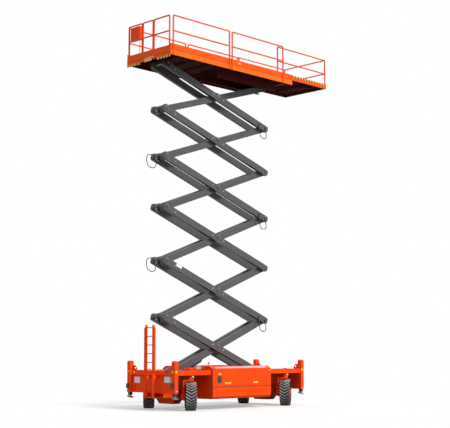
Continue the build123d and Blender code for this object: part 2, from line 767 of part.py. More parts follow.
def cabinet_tray():
    """Floor, ends, back and lower front of one cabinet."""
    skin = cabinet_skin
    walls = plate_yz(tray_outline(0), cabinet_x)
    walls = walls.cut(block((cabinet_x[0] + skin, cabinet_x[1] - skin), (0, 2 * cabinet_side_y),
                            (cabinet_seam - 1, cabinet_seam + 1)))
    hollow = plate_yz(tray_outline(skin), (cabinet_x[0] + skin, cabinet_x[1] - skin))
    mouth = block((cabinet_x[0] + skin, cabinet_x[1] - skin),
                  (cabinet_inner_y + skin, cabinet_side_y - skin), (cabinet_seam - 2, cabinet_seam + 1))
    ends = [
        plate_yz(cabinet_outline(lid_room, cabinet_seam - 1), (low, low + skin))
        for low in (cabinet_x[0], cabinet_x[1] - skin)
    ]
    back_z = (cabinet_seam - 1, cabinet_top - lid_room)
    back = block(cabinet_x, (cabinet_inner_y, cabinet_inner_y + skin), back_z)
    return joined([walls.cut(hollow, mouth), back] + ends)


def cabinet_lid():
    """Upper front, slope and top of one cabinet, hinged along its inner top edge."""
    skin = cabinet_skin
    shell = plate_yz(cabinet_outline(0, lid_bottom), cabinet_x)
    inner = plate_yz(cabinet_outline(skin, lid_bottom - 1), (cabinet_x[0] - 1, cabinet_x[1] + 1))
    back = block((cabinet_x[0] - 1, cabinet_x[1] + 1), (cabinet_inner_y - 1, cabinet_inner_y + skin + 1),
                 (lid_bottom - 1, cabinet_top - skin))
    return shell.cut(inner, back)


hinge_y = cabinet_inner_y + hinge_radius
hinge_z = cabinet_top + hinge_radius - hinge_sink
hinge_x = (cabinet_x[0] + hinge_inset, cabinet_x[1] - hinge_inset)


def on_hinge(shape):
    """The shape, drawn along X through the origin, moved to the lid's hinge line."""
    return Pos(0, hinge_y, hinge_z) * shape


def tray_hinge(x):
    """The pin of one hinge, and the lug that holds it on the tray's back."""
    reach = (x - hinge_length, x + hinge_length)
    bar = pin_x(reach, hinge_pin) if x == hinge_x[0] else prism_x(reach, hinge_pin, small_flat_count)
    pin = on_hinge(bar)
    foot = (cabinet_top - lid_room - door_gap, hinge_z)
    return [pin, block((x - hinge_length, x - door_gap), (cabinet_inner_y, hinge_y + hinge_pin), foot)]


def lid_hinge(x):
    """One hinge's barrel on the lid, its bore, and the notch in the lid for the tray's lug."""
    barrel = on_hinge(prism_x((x, x + hinge_length), hinge_radius, small_flat_count))
    reach = (x - 1, x + hinge_length + 1)
    bore = on_hinge(prism_x(reach, hinge_pin + pin_play, small_flat_count, on_flats=True))
    notch = block((x - hinge_length - door_gap, x + seat_gap), (0, hinge_y + hinge_radius + door_gap),
                  (cabinet_top - 4 * cabinet_skin, cabinet_top + 4 * cabinet_skin))
    return barrel, bore, notch


tray = joined([cabinet_tray()] + [piece for x in hinge_x for piece in tray_hinge(x)])
save("cabinet_trays", *both_sides(tray))
lid_barrels, lid_bores, lid_notches = zip(*[lid_hinge(x) for x in hinge_x])
far_lid = joined([cabinet_lid(), *lid_barrels]).cut(*lid_bores, *lid_notches)
save("cabinet_lid_far", far_lid)
save("cabinet_lid_near", mirror(far_lid, about=Plane.XZ))

block_x = (cabinet_x[0] + block_end_gap, cabinet_x[1] - block_end_gap)
block_y = (cabinet_inner_y + block_side_gap, cabinet_side_y - block_side_gap)
block_foot = cabinet_bottom + cabinet_skin
engine = block(block_x, block_y, (block_foot, cabinet_top - engine_drop))
tank = block(block_x, (-block_y[1], -block_y[0]), (block_foot, cabinet_top - tank_drop))
save("engine_and_tank", engine, tank)


# ================================================================ ladder
def ladder():
    """Two stiles with rungs between them, strips outside the upper stiles, and hangers to the end plate."""
    half, top = ladder_width / 2, ladder_top
    depth = (ladder_x - stile_depth / 2, ladder_x + stile_depth / 2)
    stile = block(depth, (half - stile_width, half), (ladder_bottom, top))
    strip = block(depth, (half, half + strip_width), (strip_bottom, top - strip_top_drop))
    hanger_z = (hanger_bottom, hanger_bottom + hanger_height)
    hanger = block((ladder_x, -end_x), (half - stile_width, half), hanger_z)
    count = int((top - ladder_bottom - rung_from_top) // rung_pitch) + 1
    rungs = [
        block((ladder_x - rung_depth / 2, ladder_x + rung_depth / 2), (-half, half), (z, z + rung_height))
        for z in [top - rung_from_top - rung_pitch * n for n in range(count)]
    ]
    return joined(both_sides(stile.fuse(strip, hanger)) + rungs)


save("ladder", Pos(0, ladder_y, 0) * ladder())

# ================================================================ platform
side_y = (deck_half_width - deck_side_width, deck_half_width)
ext_outer = side_y[0] - running_gap
ext_y = (ext_outer - extension_side_width, ext_outer)
ext_z = (deck_bottom + extension_rise, deck_bottom + extension_rise + extension_depth)
inside_deck = (-side_y[0], side_y[0])


def top_track():
    """The channel under the deck that the upper sliding block runs in, open towards the arms."""
    half = slider_height / 2 + slider_gap
    low, high = top_pin_height - half, top_pin_height + half
    inner, outer = slider_y[0], slider_y[1] + slider_gap
    thick = guide_thickness
    outline = [
        (inner, deck_floor), (inner, high), (outer, high), (outer, low), (inner, low),
        (inner, low - thick), (outer + thick, low - thick), (outer + thick, deck_floor),
    ]
    return plate_yz(outline, top_track_x)


def deck():
    """Side beams, end beam, floor, cross members, pivot ears and the upper sliders' channels."""
    beam = block((deck_rear_x, deck_front_x), side_y, (deck_bottom, deck_top))
    rear_z = (deck_bottom, deck_top - deck_end_drop)
    rear = block((deck_rear_x, deck_rear_x + cross_width), inside_deck, rear_z)
    floor = block((deck_rear_x, deck_front_x), inside_deck, (deck_floor, deck_floor + deck_sheet))
    count = int((deck_front_x - deck_rear_x - cross_start) // cross_pitch) + 1
    cross_x = [deck_rear_x + cross_start + cross_pitch * n for n in range(count)]
    shapes = both_sides(beam) + [rear, floor]
    for x in cross_x + [deck_front_x - cross_width]:
        shapes.append(block((x, x + cross_width), inside_deck, (deck_floor - cross_depth, deck_floor)))
    x, z = top_pin_x, top_pin_height
    outline = [(x - ear_foot[0], deck_floor), (x + ear_foot[0], deck_floor),
               (x + ear_head, z - ear_head), (x - ear_head, z - ear_head)]
    ear = plate_xz(outline, top_ear_y).cut(bore_y(x, z, pin_radius, (0, deck_half_width)))
    shapes += both_sides(ear) + both_sides(top_track())
    runner_x = (extension_rear_x - extension_travel, deck_front_x)
    shapes += both_sides(block(runner_x, ext_y, (deck_floor + deck_sheet, ext_z[0] - seat_gap)))
    return joined(shapes)


save("platform_deck", deck())


def rail_frame(start, end, foot, top, middle, plane_plate, across):
    """A rail's frame: two uprights, a top rail with bevelled corners and a middle rail."""
    size, bevel = rail_size, rail_bevel
    outline = [(start, foot), (start, top - bevel), (start + bevel, top), (end - bevel, top),
               (end, top - bevel), (end, foot)]
    frame = plane_plate(outline, across)
    for low, high in ((middle + size / 2, top - size), (foot - 1, middle - size / 2)):
        window = [(start + size, low), (end - size, low), (end - size, high), (start + size, high)]
        frame = frame.cut(plane_plate(window, (across[0] - 1, across[1] + 1)))
    return frame


outer_rail = (deck_half_width, deck_half_width + rail_size)
middle_rail = rail_top - mid_rail_drop - rail_size / 2
side_foot = deck_bottom + rail_foot
split_x = deck_rear_x + (deck_front_x - deck_rear_x) * rail_split
side_sections = [
    rail_frame(x0, x1, side_foot, rail_top, middle_rail, plate_xz, outer_rail)
    for x0, x1 in (
        (deck_rear_x + rail_rear_inset, split_x), (split_x + rail_gap, deck_front_x - rail_front_inset),
    )
]
rear_rail = (deck_rear_x, deck_rear_x + rail_size)
rear_foot = deck_top - deck_end_drop
gate_opening = (gate_y[0] - running_gap, gate_y[1] + running_gap)
rear_sections = [
    rail_frame(y0, y1, rear_foot, rail_top, middle_rail, plate_yz, rear_rail)
    for y0, y1 in ((-side_y[0], gate_opening[0]), (gate_opening[1], side_y[0]))
]
gate_hinge_x = rear_rail[1] + gate_hinge_offset
gate_hinge_y = gate_y[1] + running_gap / 2
gate_hinge_z = (deck_top + gate_hinge_low, rail_top - gate_hinge_high)
bracket_y = (gate_opening[1], gate_opening[1] + 20)
gate_mounts = []
for z in gate_hinge_z:
    seat = (z - gate_eye_height, z - door_gap)
    reach = (z - gate_eye_height, z + gate_eye_height)
    if z == gate_hinge_z[0]:
        gate_mounts.append(pin_z(gate_hinge_x, gate_hinge_y, gate_pin, reach))
    else:
        gate_mounts.append(prism_z(gate_hinge_x, gate_hinge_y, gate_pin, reach, small_flat_count))
    gate_mounts.append(block((rear_rail[1], gate_hinge_x + gate_pin), bracket_y, seat))
    stem_x = (gate_hinge_x - gate_pin, gate_hinge_x + gate_pin)
    gate_mounts.append(block(stem_x, (gate_hinge_y, bracket_y[1]), seat))
rear_sections[1] = joined([rear_sections[1]] + gate_mounts)
rails = [side for section in side_sections for side in both_sides(section)]
save("platform_rails", *rails, *rear_sections)
panel_end = deck_half_width - panel_from_side
save("control_panel", block((rear_rail[1], rear_rail[1] + panel_depth), (panel_end - panel_width, panel_end),
                            (rail_top - mid_rail_drop, rail_top - panel_drop)))


def platform_gate():
    """The swinging middle of the rear rail, with the eyes that turn on the fixed pins."""
    frame = rail_frame(*gate_y, rear_foot, rail_top, middle_rail, plate_yz, rear_rail)
    eyes, arms, bores = [], [], []
    arm_y = (gate_hinge_y - 2 * gate_pin, gate_hinge_y - gate_pin - 1)
    for z in gate_hinge_z:
        height = (z, z + gate_eye_height)
        eyes.append(prism_z(gate_hinge_x, gate_hinge_y, 2 * gate_pin, height, small_flat_count))
        arms.append(block((rear_rail[0] + rail_size / 2, gate_hinge_x), arm_y, height))
        bores.append(prism_z(gate_hinge_x, gate_hinge_y, gate_pin + pin_play,
                             (z - 1, z + gate_eye_height + 1), small_flat_count, on_flats=True))
    return joined([frame] + eyes + arms).cut(*bores)


save("platform_gate", platform_gate())


def brace(start, end, z):
    """A flat bar between two points in XY, as wide as the braces."""
    length = hypot(end[0] - start[0], end[1] - start[1])
    angle = degrees(atan2(end[1] - start[1], end[0] - start[0]))
    bar = block((0, length), (-brace_width / 2, brace_width / 2), z)
    return Pos(start[0], start[1], 0) * Rot(0, 0, angle) * bar


def extension_deck():
    """The sliding front deck: side beams, floor, cross members, and the braces under it."""
    inside = (-ext_y[0], ext_y[0])
    bottom, sheet = ext_z[0], ext_z[0] + extension_floor
    beam = block((extension_rear_x, extension_front_x), ext_y, ext_z)
    floor = block((extension_rear_x, extension_front_x), inside, (sheet, sheet + deck_sheet))
    length = extension_front_x - extension_rear_x
    ends = [
        block((x, x + extension_side_width), inside, (bottom, sheet))
        for x in (extension_rear_x, extension_front_x - extension_side_width)
    ]
    members = [extension_rear_x + length * share for share in extension_members]
    crosses = [block((x, x + brace_width), inside, (bottom + member_lift, sheet)) for x in members]
    front = extension_front_x - extension_side_width
    corner_y = inside[1] - brace_width
    level = (sheet - brace_height, sheet)
    braces = [brace((members[0], side * corner_y), (front, -side * corner_y), level) for side in (-1, 1)]
    return joined(both_sides(beam) + [floor] + ends + crosses + braces)


save("extension_deck", extension_deck())


def extension_rails():
    """Side and front rails that ride on the extension."""
    across = (ext_outer - rail_size, ext_outer)
    top = rail_top - extension_rail_drop
    middle = middle_rail - extension_rail_drop
    start = extension_rear_x + extension_rail_rear
    end = extension_front_x - extension_rail_front + rail_size
    shapes = both_sides(rail_frame(start, end, ext_z[1], top, middle, plate_xz, across))
    for height in (top - rail_size, middle - rail_size / 2):
        shapes.append(block((end - rail_size, end), (-across[0], across[0]), (height, height + rail_size)))
    return joined(shapes)


save("extension_rails", extension_rails())
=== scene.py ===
# %% [markdown]
# # A raised scissor lift
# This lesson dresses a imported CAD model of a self-propelled scissor lift. The CAD gives the sizes, the
# places and the moving bodies. The cells below add a camera, a plain stage, painted and rubber
# finishes, and the small pieces that a mechanic would bolt on. X runs from the ladder end to the front,
# Y goes across to the far side and Z goes up, all in metres.

import json
import math

import bpy
from mathutils import Matrix, Vector


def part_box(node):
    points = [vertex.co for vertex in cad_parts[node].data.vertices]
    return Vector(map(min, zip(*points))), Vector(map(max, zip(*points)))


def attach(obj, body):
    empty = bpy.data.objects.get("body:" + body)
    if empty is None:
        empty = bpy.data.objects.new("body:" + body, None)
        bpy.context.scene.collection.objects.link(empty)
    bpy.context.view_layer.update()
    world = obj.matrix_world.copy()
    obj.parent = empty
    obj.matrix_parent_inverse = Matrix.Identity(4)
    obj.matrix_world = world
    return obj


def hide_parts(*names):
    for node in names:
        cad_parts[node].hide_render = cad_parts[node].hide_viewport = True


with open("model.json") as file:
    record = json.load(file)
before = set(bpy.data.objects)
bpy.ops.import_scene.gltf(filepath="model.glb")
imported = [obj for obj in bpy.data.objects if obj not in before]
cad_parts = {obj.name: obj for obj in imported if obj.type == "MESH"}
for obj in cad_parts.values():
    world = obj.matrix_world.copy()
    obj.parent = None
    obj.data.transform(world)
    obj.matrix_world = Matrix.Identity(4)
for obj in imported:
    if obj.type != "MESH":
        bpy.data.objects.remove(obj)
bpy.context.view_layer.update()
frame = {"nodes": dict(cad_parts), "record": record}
nodes = frame["nodes"]
joints = {joint["name"]: joint for joint in frame["record"]["behaviour"]["joints"]}

# %% [markdown]
# ## Camera
# The machine is tall, so the camera stands far off at eye height and looks up a little. A short lens
# close by would make the platform look smaller than it is, so a long one is used. The place and the lens
# were fitted to known corners of the machine, and no shift of the lens is needed.

# %% Camera
camera_place = Vector((-28.38, -27.74, 2.057))
camera_turn = math.radians(45.25)
camera_tilt = 0.122                             # radians above level
focal_length, sensor_width = 87.52, 36          # millimetres
camera_reach = 400
camera_data = bpy.data.cameras.new("camera")
camera_data.lens = focal_length
camera_data.sensor_width = sensor_width
camera_data.clip_end = camera_reach
camera = bpy.data.objects.new("camera", camera_data)
bpy.context.scene.collection.objects.link(camera)
camera.location = camera_place
camera.rotation_euler = (math.pi / 2 + camera_tilt, 0, -camera_turn)
bpy.context.scene.camera = camera
print("camera at", tuple(camera.location), "lens", camera_data.lens)

# %% [markdown]
# ## Node helpers
# Nodes can be added and wired one at a time, but a tree of thirty links is hard to read back. Most of the
# helpers here add one kind of node, take sockets or plain values, and return the socket that comes out
# of it, so a tree of nodes reads from top to bottom like a recipe.

# %% Nodes, links and sums
def add(tree, kind, settings=None, **values):
    """A node in a tree, with its settings and the plain values of its inputs."""
    node = tree.nodes.new(kind)
    for key, value in (settings or {}).items():
        setattr(node, key, value)
    for key, value in values.items():
        node.inputs[key.replace("_", " ")].default_value = value
    return node


def put(tree, socket, value):
    """Links an input to another node's output, or sets it to a plain value."""
    if isinstance(value, bpy.types.NodeSocket):
        tree.links.new(value, socket)
    else:
        socket.default_value = value


def maths(tree, operation, *values, clamp=False):
    """What a Math node makes of sockets or plain numbers."""
    node = add(tree, "ShaderNodeMath", {"operation": operation, "use_clamp": clamp})
    for socket, value in zip(node.inputs, values):
        put(tree, socket, value)
    return node.outputs[0]


def vectors(tree, operation, *values):
    """What a Vector Math node makes: a number for a length or a dot product, otherwise a vector."""
    node = add(tree, "ShaderNodeVectorMath", {"operation": operation})
    for socket, value in zip(node.inputs, values):
        put(tree, socket, value)
    return node.outputs["Value" if operation in ("LENGTH", "DOT_PRODUCT") else "Vector"]


def scaled(tree, colour, amount):
    """A colour made paler or darker by one factor."""
    node = add(tree, "ShaderNodeVectorMath", {"operation": "SCALE"})
    put(tree, node.inputs[0], colour)
    put(tree, node.inputs["Scale"], amount)
    return node.outputs["Vector"]


def spread(tree, value, low, high, to_low=0.0, to_high=1.0):
    """A value stretched from one range to another, and held at the ends."""
    node = add(tree, "ShaderNodeMapRange", From_Min=low, From_Max=high, To_Min=to_low, To_Max=to_high)
    put(tree, node.inputs["Value"], value)
    return node.outputs[0]


print("node helpers ready")


# %% Places, noise and mixes
def own_place(tree):
    """A surface point's place on the machine, in metres."""
    return add(tree, "ShaderNodeTexCoord").outputs["Object"]


def facing_up(tree):
    """How far a surface looks up: 1 on a floor, 0 on a wall, -1 on a ceiling."""
    normal = add(tree, "ShaderNodeSeparateXYZ")
    put(tree, normal.inputs[0], add(tree, "ShaderNodeNewGeometry").outputs["Normal"])
    return normal.outputs["Z"]


def noise(tree, place, scale, detail, roughness=0.5):
    """A cloudy pattern between 0 and 1."""
    node = add(tree, "ShaderNodeTexNoise", Detail=detail, Roughness=roughness)
    put(tree, node.inputs["Vector"], place)
    put(tree, node.inputs["Scale"], scale)
    return node.outputs["Fac"]


def mix_colours(tree, share, first, second):
    """The first colour where the share is 0, the second where it is 1."""
    node = add(tree, "ShaderNodeMix", {"data_type": "RGBA"})
    # the node has sockets for each kind of data under the same names, so they go by number
    for number, value in ((0, share), (6, first), (7, second)):
        put(tree, node.inputs[number], value)
    return node.outputs[2]


def mix_values(tree, share, first, second):
    """The first number where the share is 0, the second where it is 1."""
    node = add(tree, "ShaderNodeMix")
    for number, value in ((0, share), (2, first), (3, second)):
        put(tree, node.inputs[number], value)
    return node.outputs[0]


def mix_shaders(tree, share, first, second):
    """The first shader where the share is 0, the second where it is 1."""
    node = add(tree, "ShaderNodeMixShader")
    for socket, value in zip(node.inputs, (share, first, second)):
        put(tree, socket, value)
    return node.outputs[0]


print("mixes ready")

# %% [markdown]
# ## Stage and light
# The stage is one pale floor and a world of the same white. Light Path tells a ray from the camera, or
# one off a mirror-like coat, from a ray that carries light. So the backdrop is plain white, while the
# light that falls on the machine stays at a modest level and its colours keep their depth. A brighter
# world would give the same white and wash the paint out. Soft bounce from the floor is held back, so the
# underside of a high deck stays as dark as it would be over tarmac. One large, soft sun stands to the
# right of the camera and lights the long side.

# %% World
white = (1, 1, 1, 1)
sky_tint, sky_strength = (0.95, 0.97, 1.0, 1), 0.78
scene = bpy.context.scene
scene.view_settings.view_transform = "Standard"
world = bpy.data.worlds.new("studio")
scene.world = world
world.use_nodes = True
sky = world.node_tree
sky.nodes.clear()
seen = add(sky, "ShaderNodeBackground", Color=white, Strength=1.0)
felt = add(sky, "ShaderNodeBackground", Color=sky_tint, Strength=sky_strength)
path = add(sky, "ShaderNodeLightPath")
direct = maths(sky, "MAXIMUM", path.outputs["Is Camera Ray"], path.outputs["Is Transmission Ray"])
mirrored = maths(sky, "MAXIMUM", direct, path.outputs["Is Glossy Ray"])
world_out = add(sky, "ShaderNodeOutputWorld")
put(sky, world_out.inputs["Surface"], mix_shaders(sky, mirrored, felt.outputs[0], seen.outputs[0]))
print("world strength", felt.inputs["Strength"].default_value)

# %% Sun
sun_strength, sun_spread = 3.0, math.radians(12)
sun_tint = (1.0, 0.96, 0.9)
sun_from = Vector((0.10, -1.0, 0.85))
sun_data = bpy.data.lights.new("sun", "SUN")
sun_data.energy = sun_strength
sun_data.angle = sun_spread
sun_data.color = sun_tint
sun = bpy.data.objects.new("sun", sun_data)
scene.collection.objects.link(sun)
sun.rotation_mode = "QUATERNION"
sun.rotation_quaternion = (-sun_from).to_track_quat("-Z", "Y")
print("sun from", tuple(sun_from))


# %% Floor
def deselect():
    """Nothing selected, so that an operator acts only on what is chosen next."""
    if bpy.context.object and bpy.context.object.mode != "OBJECT":
        bpy.ops.object.mode_set(mode="OBJECT")
    bpy.ops.object.select_all(action="DESELECT")


floor_size, floor_drop = 400, 0.002
floor_tone, bounce_tone = (0.8, 0.8, 0.8, 1), (0.26, 0.26, 0.26, 1)
shadow_reach, white_from, white_share_near = 4.0, 7.2, 0.4
deselect()
bpy.ops.mesh.primitive_plane_add(size=floor_size, location=(0, 0, -floor_drop))
floor = bpy.context.object
floor.name = "floor"
floor_paint = bpy.data.materials.new("floor_white")
floor_paint.use_nodes = True
ground = floor_paint.node_tree
ground.nodes.clear()
path = add(ground, "ShaderNodeLightPath")
tone = mix_colours(ground, path.outputs["Is Diffuse Ray"], floor_tone, bounce_tone)
matt = add(ground, "ShaderNodeBsdfDiffuse")
put(ground, matt.inputs["Color"], tone)
lit = add(ground, "ShaderNodeEmission", Color=white)
distance = vectors(ground, "LENGTH", own_place(ground))
fade = spread(ground, distance, shadow_reach, white_from, to_low=white_share_near)
white_share = maths(ground, "MULTIPLY", fade, path.outputs["Is Camera Ray"])
floor_out = add(ground, "ShaderNodeOutputMaterial")
put(ground, floor_out.inputs["Surface"], mix_shaders(ground, white_share, matt.outputs[0], lit.outputs[0]))
floor.data.materials.append(floor_paint)
print("floor laid", floor_size, "m across")

# %% [markdown]
# ## Shared surface effects
# Paint on a working machine is never one flat colour. Dust settles on faces that look up, rain draws it
# down the walls in streaks, painted shade darkens what looks down, and the coat itself has a faint ripple.
# Painted image maps could show this, but they would stretch over loose CAD triangles. So each effect is
# a node group that is built once, reads Object coordinates, and is placed in each material with its own
# values.

# %% Node group helper
def new_group(name, inputs, outputs):
    """An empty shader node group with named sockets; returns the tree, its inputs and its outputs."""
    group = bpy.data.node_groups.new(name, "ShaderNodeTree")
    for label, kind, value in inputs:
        socket = group.interface.new_socket(name=label, in_out="INPUT", socket_type=kind)
        socket.default_value = value
    for label, kind in outputs:
        group.interface.new_socket(name=label, in_out="OUTPUT", socket_type=kind)
    return group, group.nodes.new("NodeGroupInput").outputs, group.nodes.new("NodeGroupOutput").inputs


print("group helper ready")


# %% Weathered paint group
def build_weathering():
    """Colour and roughness of paint: faded patches, dust on top, streaks on walls, painted shade underneath.
    """
    group, given, made = new_group(
        "weathering",
        [("Paint", "NodeSocketColor", (0.8, 0.1, 0.02, 1)),
         ("Dust", "NodeSocketColor", (0.5, 0.45, 0.38, 1)),
         ("Dust Amount", "NodeSocketFloat", 0.3),
         ("Streaks", "NodeSocketFloat", 0.2),
         ("Gloss", "NodeSocketFloat", 0.35)],
        [("Color", "NodeSocketColor"), ("Roughness", "NodeSocketFloat")],
    )
    place = own_place(group)
    up = facing_up(group)
    # patches about a metre wide where the coat has faded or is still deep
    patches = noise(group, place, scale=1.3, detail=5.0, roughness=0.55)
    fade = spread(group, patches, low=0.3, high=0.75, to_low=0.9, to_high=1.08)
    faded = scaled(group, given["Paint"], fade)
    # dust on faces that look up; on the arms it is also painted light, making their tops pale as the sky
    # lights them
    grit = noise(group, place, scale=14.0, detail=6.0, roughness=0.7)
    loose = spread(group, grit, low=0.38, high=0.7)
    upward_grit = maths(group, "MULTIPLY", spread(group, up, low=0.35, high=1.0), loose)
    settled_dust_and_light = maths(group, "MULTIPLY", upward_grit, given["Dust Amount"])
    # streaks drawn down the walls: noise squeezed sideways and stretched in height
    tall = add(group, "ShaderNodeMapping", Scale=(9.0, 9.0, 0.55))
    put(group, tall.inputs["Vector"], place)
    runs = noise(group, tall.outputs[0], scale=1.0, detail=4.0, roughness=0.6)
    streak = maths(group, "MULTIPLY", spread(group, runs, low=0.52, high=0.78), given["Streaks"])
    dirt_and_light = maths(group, "ADD", settled_dust_and_light, streak, clamp=True)
    dusty_and_lit = mix_colours(group, dirt_and_light, faded, given["Dust"])
    # painted shade on faces that look down
    downward_shade = spread(group, up, low=-0.3, high=-0.9, to_low=1.0, to_high=0.3)
    put(group, made["Color"], scaled(group, dusty_and_lit, downward_shade))
    # dirt takes the gloss away
    dirt_roughness = 0.45
    rough = maths(group, "MULTIPLY_ADD", dirt_and_light, dirt_roughness, given["Gloss"], clamp=True)
    put(group, made["Roughness"], rough)
    return group


weathering = build_weathering()
print("group", weathering.name, "of", len(weathering.nodes), "nodes")


# %% Ripple group
def build_ripple():
    """A height that ripples at one size and is grainy at another, for paint, rubber and cast metal."""
    group, given, made = new_group(
        "ripple",
        [("Wave Size", "NodeSocketFloat", 40.0),
         ("Grain Size", "NodeSocketFloat", 400.0),
         ("Grain", "NodeSocketFloat", 0.3)],
        [("Height", "NodeSocketFloat")],
    )
    place = own_place(group)
    waves = noise(group, place, given["Wave Size"], detail=2.0)
    grain = noise(group, place, given["Grain Size"], detail=3.0)
    put(group, made["Height"], maths(group, "MULTIPLY_ADD", grain, given["Grain"], waves))
    return group


ripple = build_ripple()
print("group", ripple.name, "of", len(ripple.nodes), "nodes")


# %% Underside group
def build_underside():
    """1 inside a box but not on faces that look up, so on what only a look from below can see."""
    group, given, made = new_group(
        "underside",
        [("Middle", "NodeSocketVector", (0, 0, 0)),
         ("Half Size", "NodeSocketVector", (1, 1, 1))],
        [("Inside", "NodeSocketFloat")],
    )
    offset = vectors(group, "SUBTRACT", own_place(group), given["Middle"])
    room = vectors(group, "SUBTRACT", given["Half Size"], vectors(group, "ABSOLUTE", offset))
    parts = add(group, "ShaderNodeSeparateXYZ")
    put(group, parts.inputs[0], room)
    across = maths(group, "MINIMUM", parts.outputs["X"], parts.outputs["Y"])
    least = maths(group, "MINIMUM", across, parts.outputs["Z"])
    inside = maths(group, "GREATER_THAN", least, 0.0)
    not_floor = maths(group, "LESS_THAN", facing_up(group), 0.5)
    put(group, made["Inside"], maths(group, "MULTIPLY", inside, not_floor))
    return group


underside = build_underside()
print("group", underside.name, "of", len(underside.nodes), "nodes")

# %% [markdown]
# ## Paints and metals
# A painted finish is a glossy coat with the weathering group on its colour and roughness and the
# ripple group in its bump. Each material could be wired by hand, but the same builder makes every paint,
# rubber and metal, and only its values change, so all of them age in the same way.

# %% Finish builder
def finish(name, colour, gloss=0.35, dust_and_sky_light=0.25, streaks=0.12, metal=0.0, shine=0.5, bump=0.05, wave=35.0,
           grain_size=500.0, grain=0.2, dust_and_sky_light_colour=(0.42, 0.38, 0.33)):
    """A weathered material; gloss is its roughness where clean, shine how much it mirrors head on."""
    material = bpy.data.materials.new(name)
    material.use_nodes = True
    tree = material.node_tree
    surface = tree.nodes["Principled BSDF"]
    surface.inputs["Metallic"].default_value = metal
    surface.inputs["Specular IOR Level"].default_value = shine
    weather = add(tree, "ShaderNodeGroup", {"node_tree": weathering, "name": "weather"},
                  Paint=(*colour, 1), Dust=(*dust_and_sky_light_colour, 1), Dust_Amount=dust_and_sky_light, Streaks=streaks, Gloss=gloss)
    skin = add(tree, "ShaderNodeGroup", {"node_tree": ripple},
               Wave_Size=wave, Grain_Size=grain_size, Grain=grain)
    relief = add(tree, "ShaderNodeBump", Strength=bump, Distance=0.004)
    put(tree, surface.inputs["Base Color"], weather.outputs["Color"])
    put(tree, surface.inputs["Roughness"], weather.outputs["Roughness"])
    put(tree, relief.inputs["Height"], skin.outputs["Height"])
    put(tree, surface.inputs["Normal"], relief.outputs["Normal"])
    return material


print("finish builder ready")

# %% Paints
platform_colour = (0.88, 0.092, 0.003)
orange = finish("orange_paint", (0.88, 0.062, 0.001), gloss=0.36, dust_and_sky_light=0.12, streaks=0.03, shine=0.1)
platform_orange = finish("platform_paint", platform_colour, gloss=0.4, dust_and_sky_light=0.08, streaks=0.03, shine=0.1)
skirt_orange = finish("skirt_paint", (0.95, 0.15, 0.008), gloss=0.4, dust_and_sky_light=0.08, streaks=0.03, shine=0.1)
red_paint = finish("red_paint", (0.42, 0.03, 0.012), gloss=0.4, dust_and_sky_light=0.1, streaks=0.05, shine=0.2)
# the arms' heavy, pale dust on faces that look up is partly dust and partly painted light: their tops made
# pale as the sky lights them
arm_grey = finish("arm_paint", (0.082, 0.082, 0.092), gloss=0.45, dust_and_sky_light=0.5, streaks=0.04, shine=0.25,
                  bump=0.02, dust_and_sky_light_colour=(0.24, 0.23, 0.235))
black_steel = finish("black_paint", (0.02, 0.02, 0.022), gloss=0.4, dust_and_sky_light=0.3, streaks=0.1,
                     dust_and_sky_light_colour=(0.18, 0.17, 0.16))
pale_plate = finish("pale_plate", (0.46, 0.45, 0.47), gloss=0.4, dust_and_sky_light=0.1, streaks=0.05, bump=0.01)
white_plate = finish("white_plate", (0.74, 0.74, 0.72), gloss=0.4, dust_and_sky_light=0.1, streaks=0.05, bump=0.01)
grey_plate = finish("grey_plate", (0.36, 0.35, 0.34), gloss=0.5, dust_and_sky_light=0.1, streaks=0.05, bump=0.01)
yellow_plate = finish("yellow_plate", (0.85, 0.48, 0.02), gloss=0.4, dust_and_sky_light=0.05, streaks=0.02, bump=0.01)
amber_lens = finish("amber_lens", (0.75, 0.20, 0.01), gloss=0.2, dust_and_sky_light=0.1, streaks=0.0, bump=0.01)
print("paints", len(bpy.data.materials))

# %% Metals and rubbers
pin_gold = finish("zinc_plate", (0.22, 0.17, 0.10), gloss=0.4, dust_and_sky_light=0.2, streaks=0.0, metal=0.5, bump=0.03)
brass = finish("brass_pad", (0.30, 0.26, 0.16), gloss=0.4, dust_and_sky_light=0.2, streaks=0.0, metal=0.4)
chrome = finish("chromed_rod", (0.75, 0.76, 0.78), gloss=0.12, dust_and_sky_light=0.05, streaks=0.0, metal=1.0,
                bump=0.01)
bright_steel = finish("bright_steel", (0.50, 0.47, 0.42), gloss=0.35, dust_and_sky_light=0.1, streaks=0.0, metal=0.6)
cast_iron = finish("cast_iron", (0.09, 0.09, 0.095), gloss=0.6, dust_and_sky_light=0.2, streaks=0.1, bump=0.3,
                   wave=120.0)
# the carcass rubber is near black, partly the rubber's own colour and partly painted shade in the grooves;
# the lug rubber is pale, partly wear and partly painted light on the lugs
rubber = finish("tyre_rubber", (0.009, 0.009, 0.009), gloss=0.75, dust_and_sky_light=0.3, streaks=0.15, bump=0.25,
                wave=60.0, grain_size=700.0, dust_and_sky_light_colour=(0.04, 0.038, 0.036), shine=0.2)
worn_lit_rubber = finish("worn_lit_rubber", (0.27, 0.265, 0.265), gloss=0.7, dust_and_sky_light=0.3, streaks=0.25, bump=0.25,
                     wave=60.0, grain_size=700.0, dust_and_sky_light_colour=(0.26, 0.25, 0.24), shine=0.3)
hose_rubber = finish("hose_rubber", (0.018, 0.018, 0.019), gloss=0.5, dust_and_sky_light=0.2, streaks=0.0, bump=0.1)
print("all finishes", len(bpy.data.materials))


